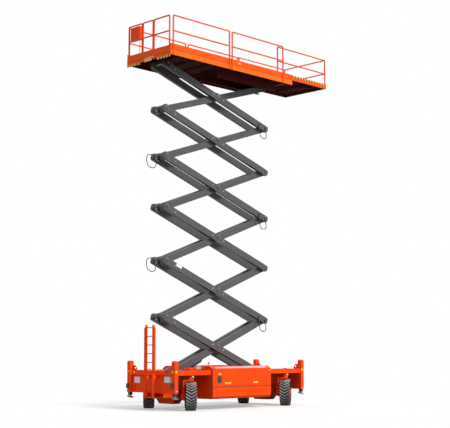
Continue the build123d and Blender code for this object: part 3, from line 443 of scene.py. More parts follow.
# %% Deck paint, with dark red painted shade where only a look from below can see it
def deck_finish(name, node):
    """The platform's orange outside, and rough, dark red painted shade inside the deck's own box."""
    underside_shade, underside_roughness = (0.10, 0.012, 0.006, 1), 0.95
    material = finish(name, platform_colour, gloss=0.4, dust_and_sky_light=0.08, streaks=0.03, shine=0.1)
    tree = material.node_tree
    weather, surface = tree.nodes["weather"], tree.nodes["Principled BSDF"]
    low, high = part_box(node)
    inner_low = low + Vector((0.03, 0.012, -0.02))
    inner_high = high - Vector((0.03, 0.012, 0.004))
    mask = add(tree, "ShaderNodeGroup", {"node_tree": underside},
               Middle=(inner_low + inner_high) / 2, Half_Size=(inner_high - inner_low) / 2)
    inside = mask.outputs["Inside"]
    # inside the box the orange gives way to painted shade, as dark as the shadowed underside
    put(tree, weather.inputs["Paint"], mix_colours(tree, inside, (*platform_colour, 1), underside_shade))
    rough = mix_values(tree, inside, weather.outputs["Roughness"], underside_roughness)
    put(tree, surface.inputs["Roughness"], rough)
    return material


deck_paint = deck_finish("deck_paint", "platform_deck")
extension_paint = deck_finish("extension_paint", "extension_deck")
print("deck paints", deck_paint.name, extension_paint.name)

# %% Finish of each CAD node
node_finish = {
    # start of the node's name: finish; the first that fits is used, and the rest are orange
    "inner_arms": arm_grey,
    "outer_arms": arm_grey,
    "lift_barrel": arm_grey,
    "lift_rod": chrome,
    "arm_pins": pin_gold,
    "top_slide_pin": pin_gold,
    "chassis_pins": pin_gold,
    "base_sliders": cast_iron,
    "top_sliders": cast_iron,
    "slide_tracks": cast_iron,
    "engine_and_tank": cast_iron,
    "platform_deck": deck_paint,
    "extension_deck": extension_paint,
    "platform": platform_orange,
    "extension": platform_orange,
    "tyre": rubber,
}
for name, node in nodes.items():
    chosen = [material for start, material in node_finish.items() if name.startswith(start)]
    node.data.materials.clear()
    node.data.materials.append(chosen[0] if chosen else orange)
print("dressed", len(nodes), "nodes")

# %% [markdown]
# ## Modelling helpers
# Every new piece starts as a primitive that is added at its size and place, is then shaped in edit
# mode, and ends at the origin with its place in its mesh. The same steps could be typed out for each
# piece. Short helpers are used instead, because an operator acts on all that is selected, and each helper
# clears the selection before it works.

# %% Choosing what an operator acts on
def settle(piece):
    """Puts a piece's place, turn and size into its mesh."""
    deselect()
    piece.select_set(True)
    bpy.context.view_layer.objects.active = piece
    bpy.ops.object.transform_apply(location=True, rotation=True, scale=True)
    return piece


def clear_mesh(piece, mode="FACE"):
    """Makes one piece active in object mode, with nothing selected in its mesh."""
    deselect()
    piece.select_set(True)
    bpy.context.view_layer.objects.active = piece
    bpy.ops.object.mode_set(mode="EDIT")
    bpy.ops.mesh.select_mode(type=mode)
    bpy.ops.mesh.select_all(action="DESELECT")
    bpy.ops.object.mode_set(mode="OBJECT")


def pick_faces(piece, test):
    """Edit mode with the faces chosen by their normal and centre."""
    clear_mesh(piece)
    for face in piece.data.polygons:
        face.select = test(face.normal, face.center)
    bpy.ops.object.mode_set(mode="EDIT")


def pick_all(piece, mode="FACE"):
    """Edit mode with the whole mesh selected."""
    clear_mesh(piece, mode)
    bpy.ops.object.mode_set(mode="EDIT")
    bpy.ops.mesh.select_all(action="SELECT")


def done():
    """Back to object mode."""
    bpy.ops.object.mode_set(mode="OBJECT")


print("selection helpers ready")

# %% Blocks and discs
toward_near, toward_rear, upward, downward = (0, -1, 0), (-1, 0, 0), (0, 0, 1), (0, 0, -1)


def soften(piece, width, segments=1):
    """Bevels every edge of a piece."""
    pick_all(piece, "EDGE")
    bpy.ops.mesh.bevel(offset=width, segments=segments, affect="EDGES")
    done()
    return piece


def block(low, high, edge=0.003):
    """A box with softened edges, between two corners."""
    low, high = Vector(low), Vector(high)
    deselect()
    bpy.ops.mesh.primitive_cube_add(size=1, location=(low + high) / 2)
    piece = bpy.context.object
    piece.scale = high - low
    settle(piece)
    return soften(piece, edge)


def disc(centre, radius, length, axis="Y", sides=24, edge=0.003):
    """A short round bar along an axis, its rims softened."""
    turn = {"X": (0, math.pi / 2, 0), "Y": (math.pi / 2, 0, 0), "Z": (0, 0, 0)}[axis]
    along = Vector({"X": (1, 0, 0), "Y": (0, 1, 0), "Z": (0, 0, 1)}[axis])
    deselect()
    bpy.ops.mesh.primitive_cylinder_add(vertices=sides, radius=radius, depth=length, location=centre,
                                        rotation=turn)
    piece = settle(bpy.context.object)
    pick_faces(piece, lambda normal, middle: abs(normal.dot(along)) > 0.9)
    bpy.ops.mesh.bevel(offset=edge, segments=2, affect="EDGES")
    done()
    return piece


def push_face(piece, towards, inset, depth):
    """Insets the faces that look one way and pushes them out, or in where depth is negative."""
    towards = Vector(towards).normalized()
    pick_faces(piece, lambda normal, middle: normal.dot(towards) > 0.99)
    bpy.ops.mesh.inset(thickness=inset)
    bpy.ops.mesh.extrude_region_move(TRANSFORM_OT_translate={"value": tuple(towards * depth)})
    done()
    return piece


print("shape helpers ready")


# %% Thin pieces laid on an outer face
def outward(face, thick):
    """The two ends, the lower first, of a thickness that grows from a face away from the middle."""
    return sorted((face, face + math.copysign(thick, face)))


def on_face(axis, face, across, height, thick=0.004, edge=0.001):
    """A thin plate proud of an outer face that looks along X or Y."""
    depth = outward(face, thick)
    if axis == "X":
        return block((depth[0], across[0], height[0]), (depth[1], across[1], height[1]), edge)
    return block((across[0], depth[0], height[0]), (across[1], depth[1], height[1]), edge)


print("plate helper ready")

# %% Joining, fitting and copying
mirror_y = Matrix.Scale(-1, 4, (0, 1, 0))


def weld(pieces):
    """Joins pieces into the first of them."""
    deselect()
    for piece in pieces:
        piece.select_set(True)
    bpy.context.view_layer.objects.active = pieces[0]
    if len(pieces) > 1:
        bpy.ops.object.join()
    return bpy.context.object


def fit(piece, name, body, material, smooth=35):
    """Names a finished piece and gives it its body, and one finish unless it has its own already."""
    piece.name = name
    piece.data.name = name
    if material:
        piece.data.materials.clear()
        piece.data.materials.append(material)
    settle(piece)
    bpy.ops.object.shade_smooth_by_angle(angle=math.radians(smooth))
    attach(piece, body)
    return piece


def again(piece, matrix):
    """A copy of a piece with its own mesh, moved by a matrix."""
    copied = piece.copy()
    copied.data = piece.data.copy()
    scene.collection.objects.link(copied)
    copied.data.transform(matrix)
    if matrix.determinant() < 0:
        copied.data.flip_normals()
    return copied


def both_sides(pieces):
    """Pieces of the near side, and their mirror images on the far side."""
    return pieces + [again(piece, mirror_y) for piece in pieces]


print("joining helpers ready")

# %% [markdown]
# ## Tyres
# Rough-ground tyres have deep V-shaped lugs, a rounded shoulder and a plain side wall. A texture could
# draw the tread, but the lugs stand out 3 cm and show against the sky, so they are real geometry. One
# tyre is made at the origin: a cylinder whose ends are inset and pushed for the side walls, with one lug
# shaped and then copied round it. The four tyres are copies of it on their own axles.

# %% One tyre carcass
tyre_radius, tread_radius, tyre_half = 0.475, 0.443, 0.19
wall_steps = [
    # inset towards the rim, how far this step bulges out
    (0.012, 0.010),
    (0.028, 0.009),
    (0.045, 0.003),
    (0.03, -0.006),
    (0.03, -0.014),
]
wall_bulge = 0.022
deselect()
bpy.ops.mesh.primitive_cylinder_add(vertices=72, radius=tread_radius, depth=2 * (tyre_half - wall_bulge),
                                    rotation=(math.pi / 2, 0, 0))
carcass = settle(bpy.context.object)
pick_faces(carcass, lambda normal, middle: abs(normal.y) > 0.9)
for inset, bulge in wall_steps:
    bpy.ops.mesh.inset(thickness=inset, depth=bulge)
# open both ends and bridge them, so that the tyre is a ring round its rim
bpy.ops.mesh.delete(type="FACE")
bpy.ops.mesh.select_mode(type="EDGE")
bpy.ops.mesh.select_non_manifold()
bpy.ops.mesh.bridge_edge_loops()
bpy.ops.mesh.select_all(action="SELECT")
bpy.ops.mesh.normals_make_consistent(inside=False)
done()
print("carcass", len(carcass.data.polygons), "faces")

# %% One lug and its copies
lug_count = 27
lug_width, lug_height, lug_tip = 0.052, 0.06, tyre_half - 0.012
lug_skew = 0.13                                 # how far round the tyre an arm of the V runs
shoulder_drop, lug_sink = 0.005, 0.0012
lug_taper, lug_edge = (0.8, 0.985, 1), 0.004
lug_fall = tyre_radius - math.sqrt(tyre_radius ** 2 - lug_skew ** 2) + shoulder_drop


def half_lug(side):
    """One arm of a V at the top of the tyre, from the middle of the tread out over the shoulder."""
    deselect()
    middle = (0, side * lug_tip / 2, tyre_radius - lug_height / 2)
    bpy.ops.mesh.primitive_cube_add(size=1, location=middle)
    piece = bpy.context.object
    piece.scale = (lug_width, lug_tip, lug_height)
    settle(piece)
    pick_faces(piece, lambda normal, middle: normal.y * side > 0.9)
    bpy.ops.transform.translate(value=(lug_skew, 0, -lug_fall))
    done()
    pick_faces(piece, lambda normal, middle: normal.z > 0.9)
    bpy.ops.transform.resize(value=lug_taper)
    done()
    return soften(piece, lug_edge)


lug = weld([half_lug(-1), half_lug(1)])
lug.data.transform(Matrix.Translation((0, 0, -lug_sink)))
# pale lugs, partly wear and partly painted light, on a near-black carcass that adds painted shade to the
# grooves
lug.data.materials.append(worn_lit_rubber)
carcass.data.materials.append(rubber)
ring = [carcass]
for number in range(lug_count):
    ring.append(again(lug, Matrix.Rotation(2 * math.pi * number / lug_count, 4, "Y")))
bpy.data.objects.remove(lug)
tyre_pattern = weld(ring)
print("tyre", len(tyre_pattern.data.polygons), "faces")

# %% [markdown]
# ## Four wheels
# Each tyre stands for its CAD node and rolls with its rim. The rims keep their CAD shape, and get a
# ring of wheel nuts on the disc, a hub cap over the spindle and a valve. An array modifier could repeat
# the nuts, but a short loop round a circle is as plain and leaves nothing to apply.

# %% Wheel nuts, hub cap and valve
nut_count, nut_circle, nut_size, disc_face = 10, 0.137, 0.016, -0.068
hub_face, hub_radius = -0.172, 0.082
valve_place = (0.215, -0.105, 0.0)


def wheel_nuts():
    """Nuts on the disc, a stepped hub cap and the valve, outside face towards -Y."""
    parts = []
    for number in range(nut_count):
        angle = 2 * math.pi * number / nut_count
        middle = (nut_circle * math.cos(angle), disc_face, nut_circle * math.sin(angle))
        parts.append(disc(middle, nut_size, length=0.022, sides=6, edge=0.002))
    cap = disc((0, hub_face, 0), hub_radius, length=0.02, sides=32, edge=0.004)
    parts.append(push_face(cap, toward_near, inset=0.02, depth=0.012))
    parts.append(disc(valve_place, radius=0.006, length=0.03, sides=10, edge=0.001))
    return weld(parts)


nuts_pattern = wheel_nuts()
print("wheel nuts", len(nuts_pattern.data.polygons), "faces")


# %% Tyres and nuts on the four axles
def wheel_frame(name):
    """The matrix that takes a wheel at the origin, facing -Y, to its place."""
    axle = joints[f"roll_{name}"]
    along = Vector(axle["axis"])
    turn = math.atan2(-along.x, along.y) + (math.pi if name.endswith("far") else 0)
    return Matrix.Translation(Vector(axle["pos_m"])) @ Matrix.Rotation(turn, 4, "Z")


corners = ("rear_near", "rear_far", "front_near", "front_far")
for name in corners:
    place = wheel_frame(name)
    # a far wheel faces the other way, and a half turn more keeps its tread the same way round
    tread_turn = Matrix.Rotation(math.pi if name.endswith("far") else 0, 4, "Z")
    tyre = again(tyre_pattern, place @ tread_turn)
    fit(tyre, f"lugged_tyre_{name}", f"wheel_{name}", None, smooth=30)
    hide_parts(f"tyre_{name}")
    nuts = again(nuts_pattern, place)
    fit(nuts, f"wheel_nuts_{name}", f"wheel_{name}", orange)
bpy.data.objects.remove(tyre_pattern)
bpy.data.objects.remove(nuts_pattern)
print("wheels dressed", corners)

# %% [markdown]
# ## Pin caps on the arms
# The pins of the stack end in round zinc-plated caps on the outer arms, each held by one dark bolt.
# The topmost centre pin has a thin cap without a bolt, because the deck's channels pass close to it when
# the lift is down. A cap could be turned from a profile with Spin, but a disc with its face inset and
# pushed gives the same step. The caps turn with the outer arms that hold the pins.

# %% Pin caps
last_stage = 6
stages = range(1, last_stage + 1)
arm_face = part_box("outer_arms_1")[1].y
cap_radius, cap_thick = 0.068, 0.022
flush_radius, flush_thick = 0.06, 0.004
bolt_radius, bolt_out = 0.024, 0.043


def pin_place(name):
    """Where a joint of the stack lies at rest."""
    return Vector(joints[name]["pos_m"])


def left_pin(stage):
    """The pin at the upper left end of an outer arm; the last of them carries the platform."""
    return pin_place("platform_level" if stage == last_stage else f"left_{stage}")


def arm_disc(place, out, radius, length, sides, edge):
    """A disc on the near outer arm, its middle that far out from the arm's face."""
    return disc((place.x, -arm_face - out, place.z), radius, length, sides=sides, edge=edge)


def pin_cap(place):
    """A stepped cap."""
    cap = arm_disc(place, cap_thick / 2, cap_radius, cap_thick, sides=28, edge=0.004)
    return push_face(cap, toward_near, inset=0.02, depth=0.012)


for stage in stages:
    centre = pin_place(f"centre_{stage}")
    flush = []
    places = [centre, left_pin(stage)]
    if stage == last_stage:
        flush = [arm_disc(centre, flush_thick / 2, flush_radius, flush_thick, sides=28, edge=0.001)]
        places = []
    if stage > 1:
        below = left_pin(stage - 1)
        places.append(Vector((2 * centre.x - below.x, 0, below.z)))
    caps = both_sides([pin_cap(place) for place in places] + flush)
    fit(weld(caps), f"pin_caps_{stage}", f"outer_{stage}", pin_gold)
    bolts = [arm_disc(place, bolt_out, bolt_radius, length=0.02, sides=6, edge=0.003) for place in places]
    fit(weld(both_sides(bolts)), f"pin_bolts_{stage}", f"outer_{stage}", black_steel)
print("pin caps on", last_stage, "stages")

# %% [markdown]
# ## Hazard stripes
# The low rear corners of the deck and the upper edges of the extension carry yellow and black bands.
# Each band could be a row of small plates, but the real ones are tape. So a stripe finish mixes two
# paints with a slanted wave on Object coordinates, on thin plates with softened edges.

# %% Stripe finish
def stripes(name, direction, width, first=(0.9, 0.55, 0.02), second=(0.015, 0.015, 0.015)):
    """Slanted bands of two paints, each as wide along its plate as the width given."""
    material = finish(name, first, gloss=0.4, dust_and_sky_light=0.1, streaks=0.04, bump=0.01)
    tree = material.node_tree
    across = vectors(tree, "DOT_PRODUCT", own_place(tree), direction)
    wave = maths(tree, "PINGPONG", across, width)
    step = maths(tree, "GREATER_THAN", wave, width / 2)
    put(tree, tree.nodes["weather"].inputs["Paint"], mix_colours(tree, step, (*first, 1), (*second, 1)))
    return material


rear_stripes = stripes("rear_hazard_bands", (0, 1.0, 0.7), 0.075)
side_stripes = stripes("side_hazard_bands", (1.0, 0, 0.6), 0.08)
print("stripes", rear_stripes.name, side_stripes.name)

# %% Bands on the deck and the extension
deck_low, deck_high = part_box("platform_deck")
extension_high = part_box("extension_deck")[1]
band_edge, band_margin = 0.0015, 0.02
rear_band_ends = (0.42, 1.12)                   # from the middle of the deck
rear_band_height = (deck_low.z + 0.068, deck_low.z + 0.142)
side_band_height = (extension_high.z - 0.065, extension_high.z - 0.005)
side_band_ends = (deck_high.x + band_margin, extension_high.x - band_margin)
for side, name in ((-1, "near"), (1, "far")):
    ends = sorted(side * end for end in rear_band_ends)
    plate = on_face("X", deck_low.x, ends, rear_band_height, edge=band_edge)
    fit(plate, f"rear_band_{name}", "platform", rear_stripes)
    band = on_face("Y", side * extension_high.y, side_band_ends, side_band_height, edge=band_edge)
    fit(band, f"side_band_{name}", "extension", side_stripes)
print("bands laid")

# %% [markdown]
# ## Fittings along the arms
# Each outer arm carries grease points close to its pins, and a black stop block with a yellow dot hangs
# between the arms at every left pin below the platform. One arm has a blank plate riveted on. Places
# could be read off in X and Z, but they are measured along the arm from its pins, so that a fitting
# follows the slant of its own stage.

# %% Places along an arm
def arm_line(stage):
    """The centre pin of one stage's outer arm, and the unit direction to its left pin."""
    centre, left = pin_place(f"centre_{stage}"), left_pin(stage)
    centre.y = left.y = 0
    return centre, (left - centre).normalized()


def along_arm(stage, distance, below=0.0):
    """A point at y = 0 that far along an arm from its centre pin, and below the line of its pins."""
    centre, direction = arm_line(stage)
    down = Vector((direction.z, 0, -direction.x))
    return centre + distance * direction + below * (down if down.z < 0 else -down)


print("arm 2 runs along", tuple(arm_line(2)[1]))

# %% Grease points and stop blocks
nipple_below = 0.05
nipple_distances = (0.28, -0.28, 2.2)           # from the centre pin towards the left pin
stop_half = 0.065
stop_start, stop_end = -0.17, -0.055            # from the left pin along X
stop_low, stop_high = -0.19, -0.02
dot_out = 0.013
for stage in stages:
    dots = []
    for distance in nipple_distances:
        spot = along_arm(stage, distance, nipple_below)
        dots.append(arm_disc(spot, 0.004, radius=0.017, length=0.016, sides=12, edge=0.003))
    fit(weld(dots), f"grease_points_{stage}", f"outer_{stage}", white_plate)
    if stage == last_stage:
        continue
    pin = left_pin(stage)
    low = (pin.x + stop_start, -stop_half, pin.z + stop_low)
    high = (pin.x + stop_end, stop_half, pin.z + stop_high)
    stop = push_face(block(low, high, edge=0.008), toward_rear, inset=0.02, depth=0.012)
    fit(stop, f"stop_block_{stage}", f"outer_{stage}", black_steel)
    dot_place = (pin.x + stop_start - dot_out, 0, pin.z + (stop_low + stop_high) / 2)
    dot = disc(dot_place, radius=0.024, length=0.012, axis="X", sides=20, edge=0.003)
    fit(dot, f"stop_dot_{stage}", f"outer_{stage}", yellow_plate)
print("grease points and stops on the arms")

# %% Arm plate
arm_plate_stage, arm_plate_distance = 2, 2.04
arm_plate_half, arm_plate_tall, arm_plate_thick = 0.135, 0.05, 0.004
direction = arm_line(arm_plate_stage)[1]
slant = math.atan2(direction.z, -direction.x)
arm_plate = block((-arm_plate_half, -arm_face - arm_plate_thick, -arm_plate_tall),
                  (arm_plate_half, -arm_face, arm_plate_tall), edge=0.0012)
plate_centre = along_arm(arm_plate_stage, arm_plate_distance, -0.01)
arm_plate.data.transform(Matrix.Translation(plate_centre) @ Matrix.Rotation(slant, 4, "Y"))
fit(arm_plate, "arm_plate", f"outer_{arm_plate_stage}", white_plate)
print("arm plate slants", round(math.degrees(slant), 1), "degrees")

# %% [markdown]
# ## Hose loops
# Hydraulic hoses cross the joints of the stack in loose loops. Each loop is clamped at both ends to the
# outer face of one outer arm and hangs free past the arm's end, with spare length for the fold. A mesh
# tube could be swept along a path, but a thick curve keeps its points easy to move: each hose is one
# smooth curve that a few given points pull into shape. A thinner cable hangs below the
# control panel.

# %% Hose helpers
clamp_reach, clamp_low, clamp_high = 0.024, 0.020, 0.024
clamp_gap, clamp_thick = 0.002, 0.034


def curve_length(piece):
    """The length of a curve's own line."""
    thick = piece.data.bevel_depth
    piece.data.bevel_depth = 0
    bpy.context.view_layer.update()
    line = bpy.data.meshes.new_from_object(piece.evaluated_get(bpy.context.evaluated_depsgraph_get()))
    total = 0
    for edge in line.edges:
        start, end = edge.vertices
        total += (line.vertices[start].co - line.vertices[end].co).length
    bpy.data.meshes.remove(line)
    piece.data.bevel_depth = thick
    return total


def hose(name, body, points, radius=0.0145):
    """A free hose along a smooth line, both ends on the object."""
    curve = bpy.data.curves.new(name, "CURVE")
    curve.dimensions = "3D"
    curve.bevel_depth = radius
    curve.bevel_resolution = 3
    curve.resolution_u = 10
    curve.use_fill_caps = True
    spline = curve.splines.new("NURBS")
    spline.points.add(len(points) - 1)
    for point, place in zip(spline.points, points):
        point.co = (*place, 1)
    spline.order_u = 3
    spline.use_endpoint_u = True
    piece = bpy.data.objects.new(name, curve)
    scene.collection.objects.link(piece)
    curve.materials.append(hose_rubber)
    length = curve_length(piece)
    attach(piece, body)
    print(name, "is", round(length, 3), "m long")
    return piece


def clamps(points, side, name, stage):
    """Two small blocks that hold a hose's ends to an arm's outer face."""
    across = outward(side * (arm_face + clamp_gap), clamp_thick)
    blocks = []
    for x, y, z in (points[0], points[-1]):
        low = (x - clamp_reach, across[0], z - clamp_low)
        high = (x + clamp_reach, across[1], z + clamp_high)
        blocks.append(block(low, high, edge=0.005))
    fit(weld(blocks), f"hose_clamps_{name}_{stage}", f"outer_{stage}", black_steel)


print("hose helpers ready")

# %% Hose loops at the arms' ends
hose_out = arm_face + 0.020
# distance along the arm from its centre pin, and depth below the line of its pins
right_start, right_end, left_end = (-2.24, 0.10), (-2.60, 0.11), (2.45, 0.11)
right_drop, right_bow = 0.40, (0, 0.03, 0.065, 0.065, 0.03, 0)      # the bow keeps a loop off the arms
for stage in (2, 4, 6):
    start = along_arm(stage, *right_start)
    end = along_arm(stage, *right_end)
    low = end.z - right_drop
    route = [start, (start.x, 0, start.z - 0.18), (start.x, 0, low), (end.x, 0, low),
             (end.x, 0, end.z - 0.14), end]
    points = [(point[0], -hose_out - bow, point[2]) for point, bow in zip(route, right_bow)]
    hose(f"hose_loop_right_{stage}", f"outer_{stage}", points)
    clamps(points, -1, "right", stage)
for stage in (2, 4):
    pin = left_pin(stage)
    end = along_arm(stage, *left_end)
    route = [(pin.x - 0.05, 0, pin.z + 0.088), (pin.x - 0.21, 0, pin.z + 0.09),
             (pin.x - 0.31, 0, pin.z), (pin.x - 0.30, 0, pin.z - 0.26),
             (pin.x - 0.10, 0, pin.z - 0.40), (end.x, 0, end.z - 0.16), end]
    points = [(point[0], hose_out, point[2]) for point in route]
    hose(f"hose_loop_left_{stage}", f"outer_{stage}", points)
    clamps(points, 1, "left", stage)

# %% Panel cable
panel_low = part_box("control_panel")[0]
cable_x, cable_y = panel_low.x + 0.04, panel_low.y + 0.03
cable = [(cable_x, cable_y, panel_low.z + 0.01),
         (cable_x, cable_y - 0.005, panel_low.z - 0.12),
         (cable_x, cable_y + 0.015, deck_high.z + 0.10),
         (cable_x - 0.015, cable_y, deck_high.z - 0.075)]
hose("panel_cable", "platform", cable, radius=0.008)

# %% [markdown]
# ## Plates and labels
# A working machine carries plates for its data and its warnings. They could be painted into the finish,
# but real ones catch light on their edges. Here they are blank, thin plates with softened edges, each
# laid on the face that carries it, in white, grey and yellow.

# %% Plates on the chassis and the posts
end_lip = 0.055                                 # how far the flanges reach past the end plate's face
post_plate = 0.055                              # the width of a plate, and its distance from the post's edge
end_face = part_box("end_plates")[0].x + end_lip
post_low, post_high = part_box("jack_housings")
white_places = [
    # start and end across, low and high above the ground
    (0.64, 0.93, 0.891, 1.097),
    (-0.865, -0.586, 0.924, 1.124),
    (0.91, 0.975, 1.22, 1.285),
    (-0.975, -0.91, 1.225, 1.29),
]
whites = []
for start, end, low, high in white_places:
    whites.append(on_face("X", end_face, (start, end), (low, high)))
for x, height in ((post_low.x + 0.09, 0.653), (post_high.x - 0.09, 0.624)):
    whites.append(disc((x, post_low.y - 0.004, height), radius=0.018, length=0.02, sides=14))
fit(weld(whites), "white_chassis_plates", "chassis", white_plate)
grey = on_face("X", end_face, across=(-0.95, -0.875), height=(0.92, 1.11))
fit(grey, "grey_chassis_plate", "chassis", grey_plate)
yellows = []
for side in (-1, 1):
    across = sorted((side * (post_high.y - post_plate), side * (post_high.y - 2 * post_plate)))
    yellows.append(on_face("X", post_low.x, across, height=(1.245, 1.325)))
for x in (post_low.x + 0.03, post_high.x - 0.125):
    yellows.append(on_face("Y", post_low.y, across=(x, x + 0.07), height=(1.235, 1.32)))
fit(weld(yellows), "yellow_post_plates", "chassis", yellow_plate)
print("chassis plates", len(white_places) + 1, "and", len(yellows), "on the posts")

# %% Plates and grip on the hood
lid_low, lid_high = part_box("cabinet_lid_near")
hood_yellow_places = [
    # start and length along X, low and high above the ground
    (lid_low.x + 0.287, 0.135, 1.159, 1.215),
    (lid_low.x + 0.595, 0.135, 0.840, 0.907),
    (lid_low.x + 0.75, 0.136, 0.840, 0.907),
    (lid_high.x - 0.903, 0.230, 0.844, 0.918),
]
hood_yellows = []
for start, length, low, high in hood_yellow_places:
    hood_yellows.append(on_face("Y", lid_low.y, (start, start + length), (low, high)))
fit(weld(hood_yellows), "yellow_hood_plates", "lid_near", yellow_plate)
grip_ends, grip_height = (lid_low.x + 0.235, lid_low.x + 0.436), (0.884, 1.122)
recess = on_face("Y", lid_low.y, grip_ends, grip_height)
fit(push_face(recess, toward_near, inset=0.014, depth=-0.003), "hood_grip_panel", "lid_near", black_steel)
slope = math.atan2(0.08, 0.15)                  # rise over run of the hood's shoulder
strip_half, strip_wide, strip_thick = 1.25, 0.05, 0.003
strip_back, strip_height = 0.075, 1.40
strip = block((-strip_half, -strip_wide, 0), (strip_half, strip_wide, strip_thick), edge=0.001)
strip_place = Vector(((lid_low.x + lid_high.x) / 2, lid_low.y + strip_back, strip_height))
strip.data.transform(Matrix.Translation(strip_place) @ Matrix.Rotation(slope, 4, "X"))
fit(strip, "hood_slope_strip", "lid_near", pale_plate)
latch = disc((lid_high.x - 0.057, lid_low.y - 0.004, 1.293), radius=0.022, length=0.016, sides=18)
fit(push_face(latch, toward_near, inset=0.006, depth=-0.004), "hood_latch", "lid_near", white_plate)
print("hood plates", len(hood_yellows), "yellow, with a grip, a strip and a latch")


# %% Dark seams round the hood
def hood_seam(ends, height):
    """A dark line on the hood's outer face."""
    return on_face("Y", lid_low.y, ends, height, thick=0.002, edge=0.0008)


tray_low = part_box("cabinet_trays")[0]
seam_width, shoulder_height, tray_gap = 0.016, 1.355, 0.12
end_seam = (lid_low.x, lid_low.x + seam_width)
lid_seam = hood_seam(end_seam, (lid_low.z + 0.006, shoulder_height))
fit(lid_seam, "hood_end_seam", "lid_near", black_steel)
seams = [
    hood_seam((lid_low.x, lid_high.x), (lid_low.z - 0.020, lid_low.z - 0.004)),
    hood_seam(end_seam, (tray_low.z + tray_gap, lid_low.z - 0.02)),
]
fit(weld(seams), "hood_seams", "chassis", black_steel)
print("seams laid")

# %% [markdown]
# ## Posts, pads and tie-downs
# The stabiliser posts have a wider sleeve at the top, and the two by the ladder end a black bumper low on
# the outside. Under each post a black leg ends in a steel ball and a brass pad, which hangs a little
# askew. The CAD has leg and pad in one straight solid, so the three new pieces replace it. Half-ring
# tie-downs are welded to the end plate: each is a torus cut by a plane, which is quicker than a bent bar.

# %% Sleeves, legs, balls and pads
post_size, sleeve_wall = 0.155, 0.008
sleeve_low, sleeve_high = 1.36, 1.60
leg_half, leg_foot = 0.0575, 0.475
ball_radius, ball_height, ball_squash = 0.04, 0.462, 0.85
pad_radius, pad_height, pad_tilt = 0.118, 0.424, math.radians(16)


def post_sleeve(x, y):
    """The wider top of a post."""
    half = post_size / 2 + sleeve_wall
    return block((x - half, y - half, sleeve_low), (x + half, y + half, sleeve_high), edge=0.012)


def jack_bar(x, y, top):
    """The square leg that slides in the post."""
    return block((x - leg_half, y - leg_half, leg_foot), (x + leg_half, y + leg_half, top), edge=0.006)


def jack_ball(x, y):
    """A slightly flattened ball under the leg."""
    centre = (x, y, ball_height)
    deselect()
    bpy.ops.mesh.primitive_uv_sphere_add(segments=24, ring_count=12, radius=ball_radius, location=centre)
    ball = settle(bpy.context.object)
    pick_all(ball)
    bpy.ops.transform.resize(value=(1, 1, ball_squash), center_override=centre)
    done()
    return ball


def jack_pad(x, y):
    """A round pad with a raised seat, tilted about its middle."""
    pad = disc((0, 0, 0), pad_radius, length=0.02, axis="Z", sides=36, edge=0.004)
    pad = push_face(pad, upward, inset=0.07, depth=0.014)
    pad.data.transform(Matrix.Translation((x, y, pad_height)) @ Matrix.Rotation(pad_tilt, 4, "X"))
    return pad


post_middles = {"rear": post_low.x + post_size / 2, "front": post_high.x - post_size / 2}
for end, post_x in post_middles.items():
    for reach in ("near", "far"):
        corner = f"{end}_{reach}"
        body = f"jack_leg_{corner}"
        leg_low, leg_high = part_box(body)
        middle = (leg_low + leg_high) / 2
        fit(post_sleeve(post_x, middle.y), f"post_sleeve_{corner}", "chassis", orange)
        leg = fit(jack_bar(middle.x, middle.y, leg_high.z), f"jack_bar_{corner}", body, black_steel)
        ball = fit(jack_ball(middle.x, middle.y), f"jack_ball_{corner}", body, bright_steel)
        pad = fit(jack_pad(middle.x, middle.y), f"jack_pad_{corner}", body, brass)
        for piece in (leg, ball, pad):
            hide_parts(body)
print("four posts dressed")

# %% Bumpers and tie-down rings
bumper_low = post_low.x - 0.055
bumper_places = [
    # start and end across, low and high above the ground
    (-1.155, -1.04, 0.753, 0.92),
    (1.085, 1.20, 0.714, 0.871),
]
ring_places = [
    # place across, height above the ground, side that is cut away
    (0.92, 0.75, 1),
    (-0.39, 0.782, -1),
]
ring_radius, ring_thick, ring_inset, ring_lean = 0.062, 0.013, 0.012, 0.35
bumpers = []
for start, end, low, high in bumper_places:
    bumper = block((bumper_low, start, low), (post_low.x, end, high), edge=0.008)
    bumpers.append(push_face(bumper, toward_rear, inset=0.02, depth=-0.006))
fit(weld(bumpers), "post_bumpers", "chassis", black_steel)


def half_ring(y, z, opening):
    """Half a steel ring standing on the end plate, open to one side."""
    deselect()
    bpy.ops.mesh.primitive_torus_add(location=(end_face - ring_inset, y, z), rotation=(0, math.pi / 2, 0),
                                     major_radius=ring_radius, minor_radius=ring_thick,
                                     major_segments=28, minor_segments=10)
    ring = settle(bpy.context.object)
    pick_all(ring)
    bpy.ops.mesh.bisect(plane_co=(end_face, y, z), plane_no=(0, opening, ring_lean), clear_outer=True,
                        use_fill=True)
    done()
    return ring


rings = [half_ring(*ring) for ring in ring_places]
fit(weld(rings), "tie_rings", "chassis", orange)
print("bumpers", len(bumper_places), "and rings", len(ring_places))

# %% [markdown]
# ## Boxes on the wheel bay, beacon and steering fittings
# Valve boxes stand in a row on the near wheel bay between the post and the hood, and an amber beacon on
# a white base shows above the hood. A white fitting sits over each near wheel, where its steering pin
# goes up into the bay. Each is a block or a disc with one face inset and pushed, which is all that such
# small castings need.

# %% Valve boxes
bay_low, bay_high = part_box("wheel_bays")
bay_edge, box_deep = -0.95, 0.12
box_row = [
    # name, start and end along X, height above the bay, finish
    ("red", -3.29, -3.07, 0.050, red_paint),
    ("orange", -3.07, -2.71, 0.062, orange),
    ("grey", -2.71, -2.50, 0.106, grey_plate),
    ("long_red", -2.50, lid_low.x - 0.02, 0.111, red_paint),
]
for name, start, end, height, material in box_row:
    box = block((start, bay_edge, bay_high.z), (end, bay_edge + box_deep, bay_high.z + height), edge=0.006)
    fit(push_face(box, upward, inset=0.012, depth=0.004), f"valve_box_{name}", "chassis", material)
print("valve boxes", len(box_row))

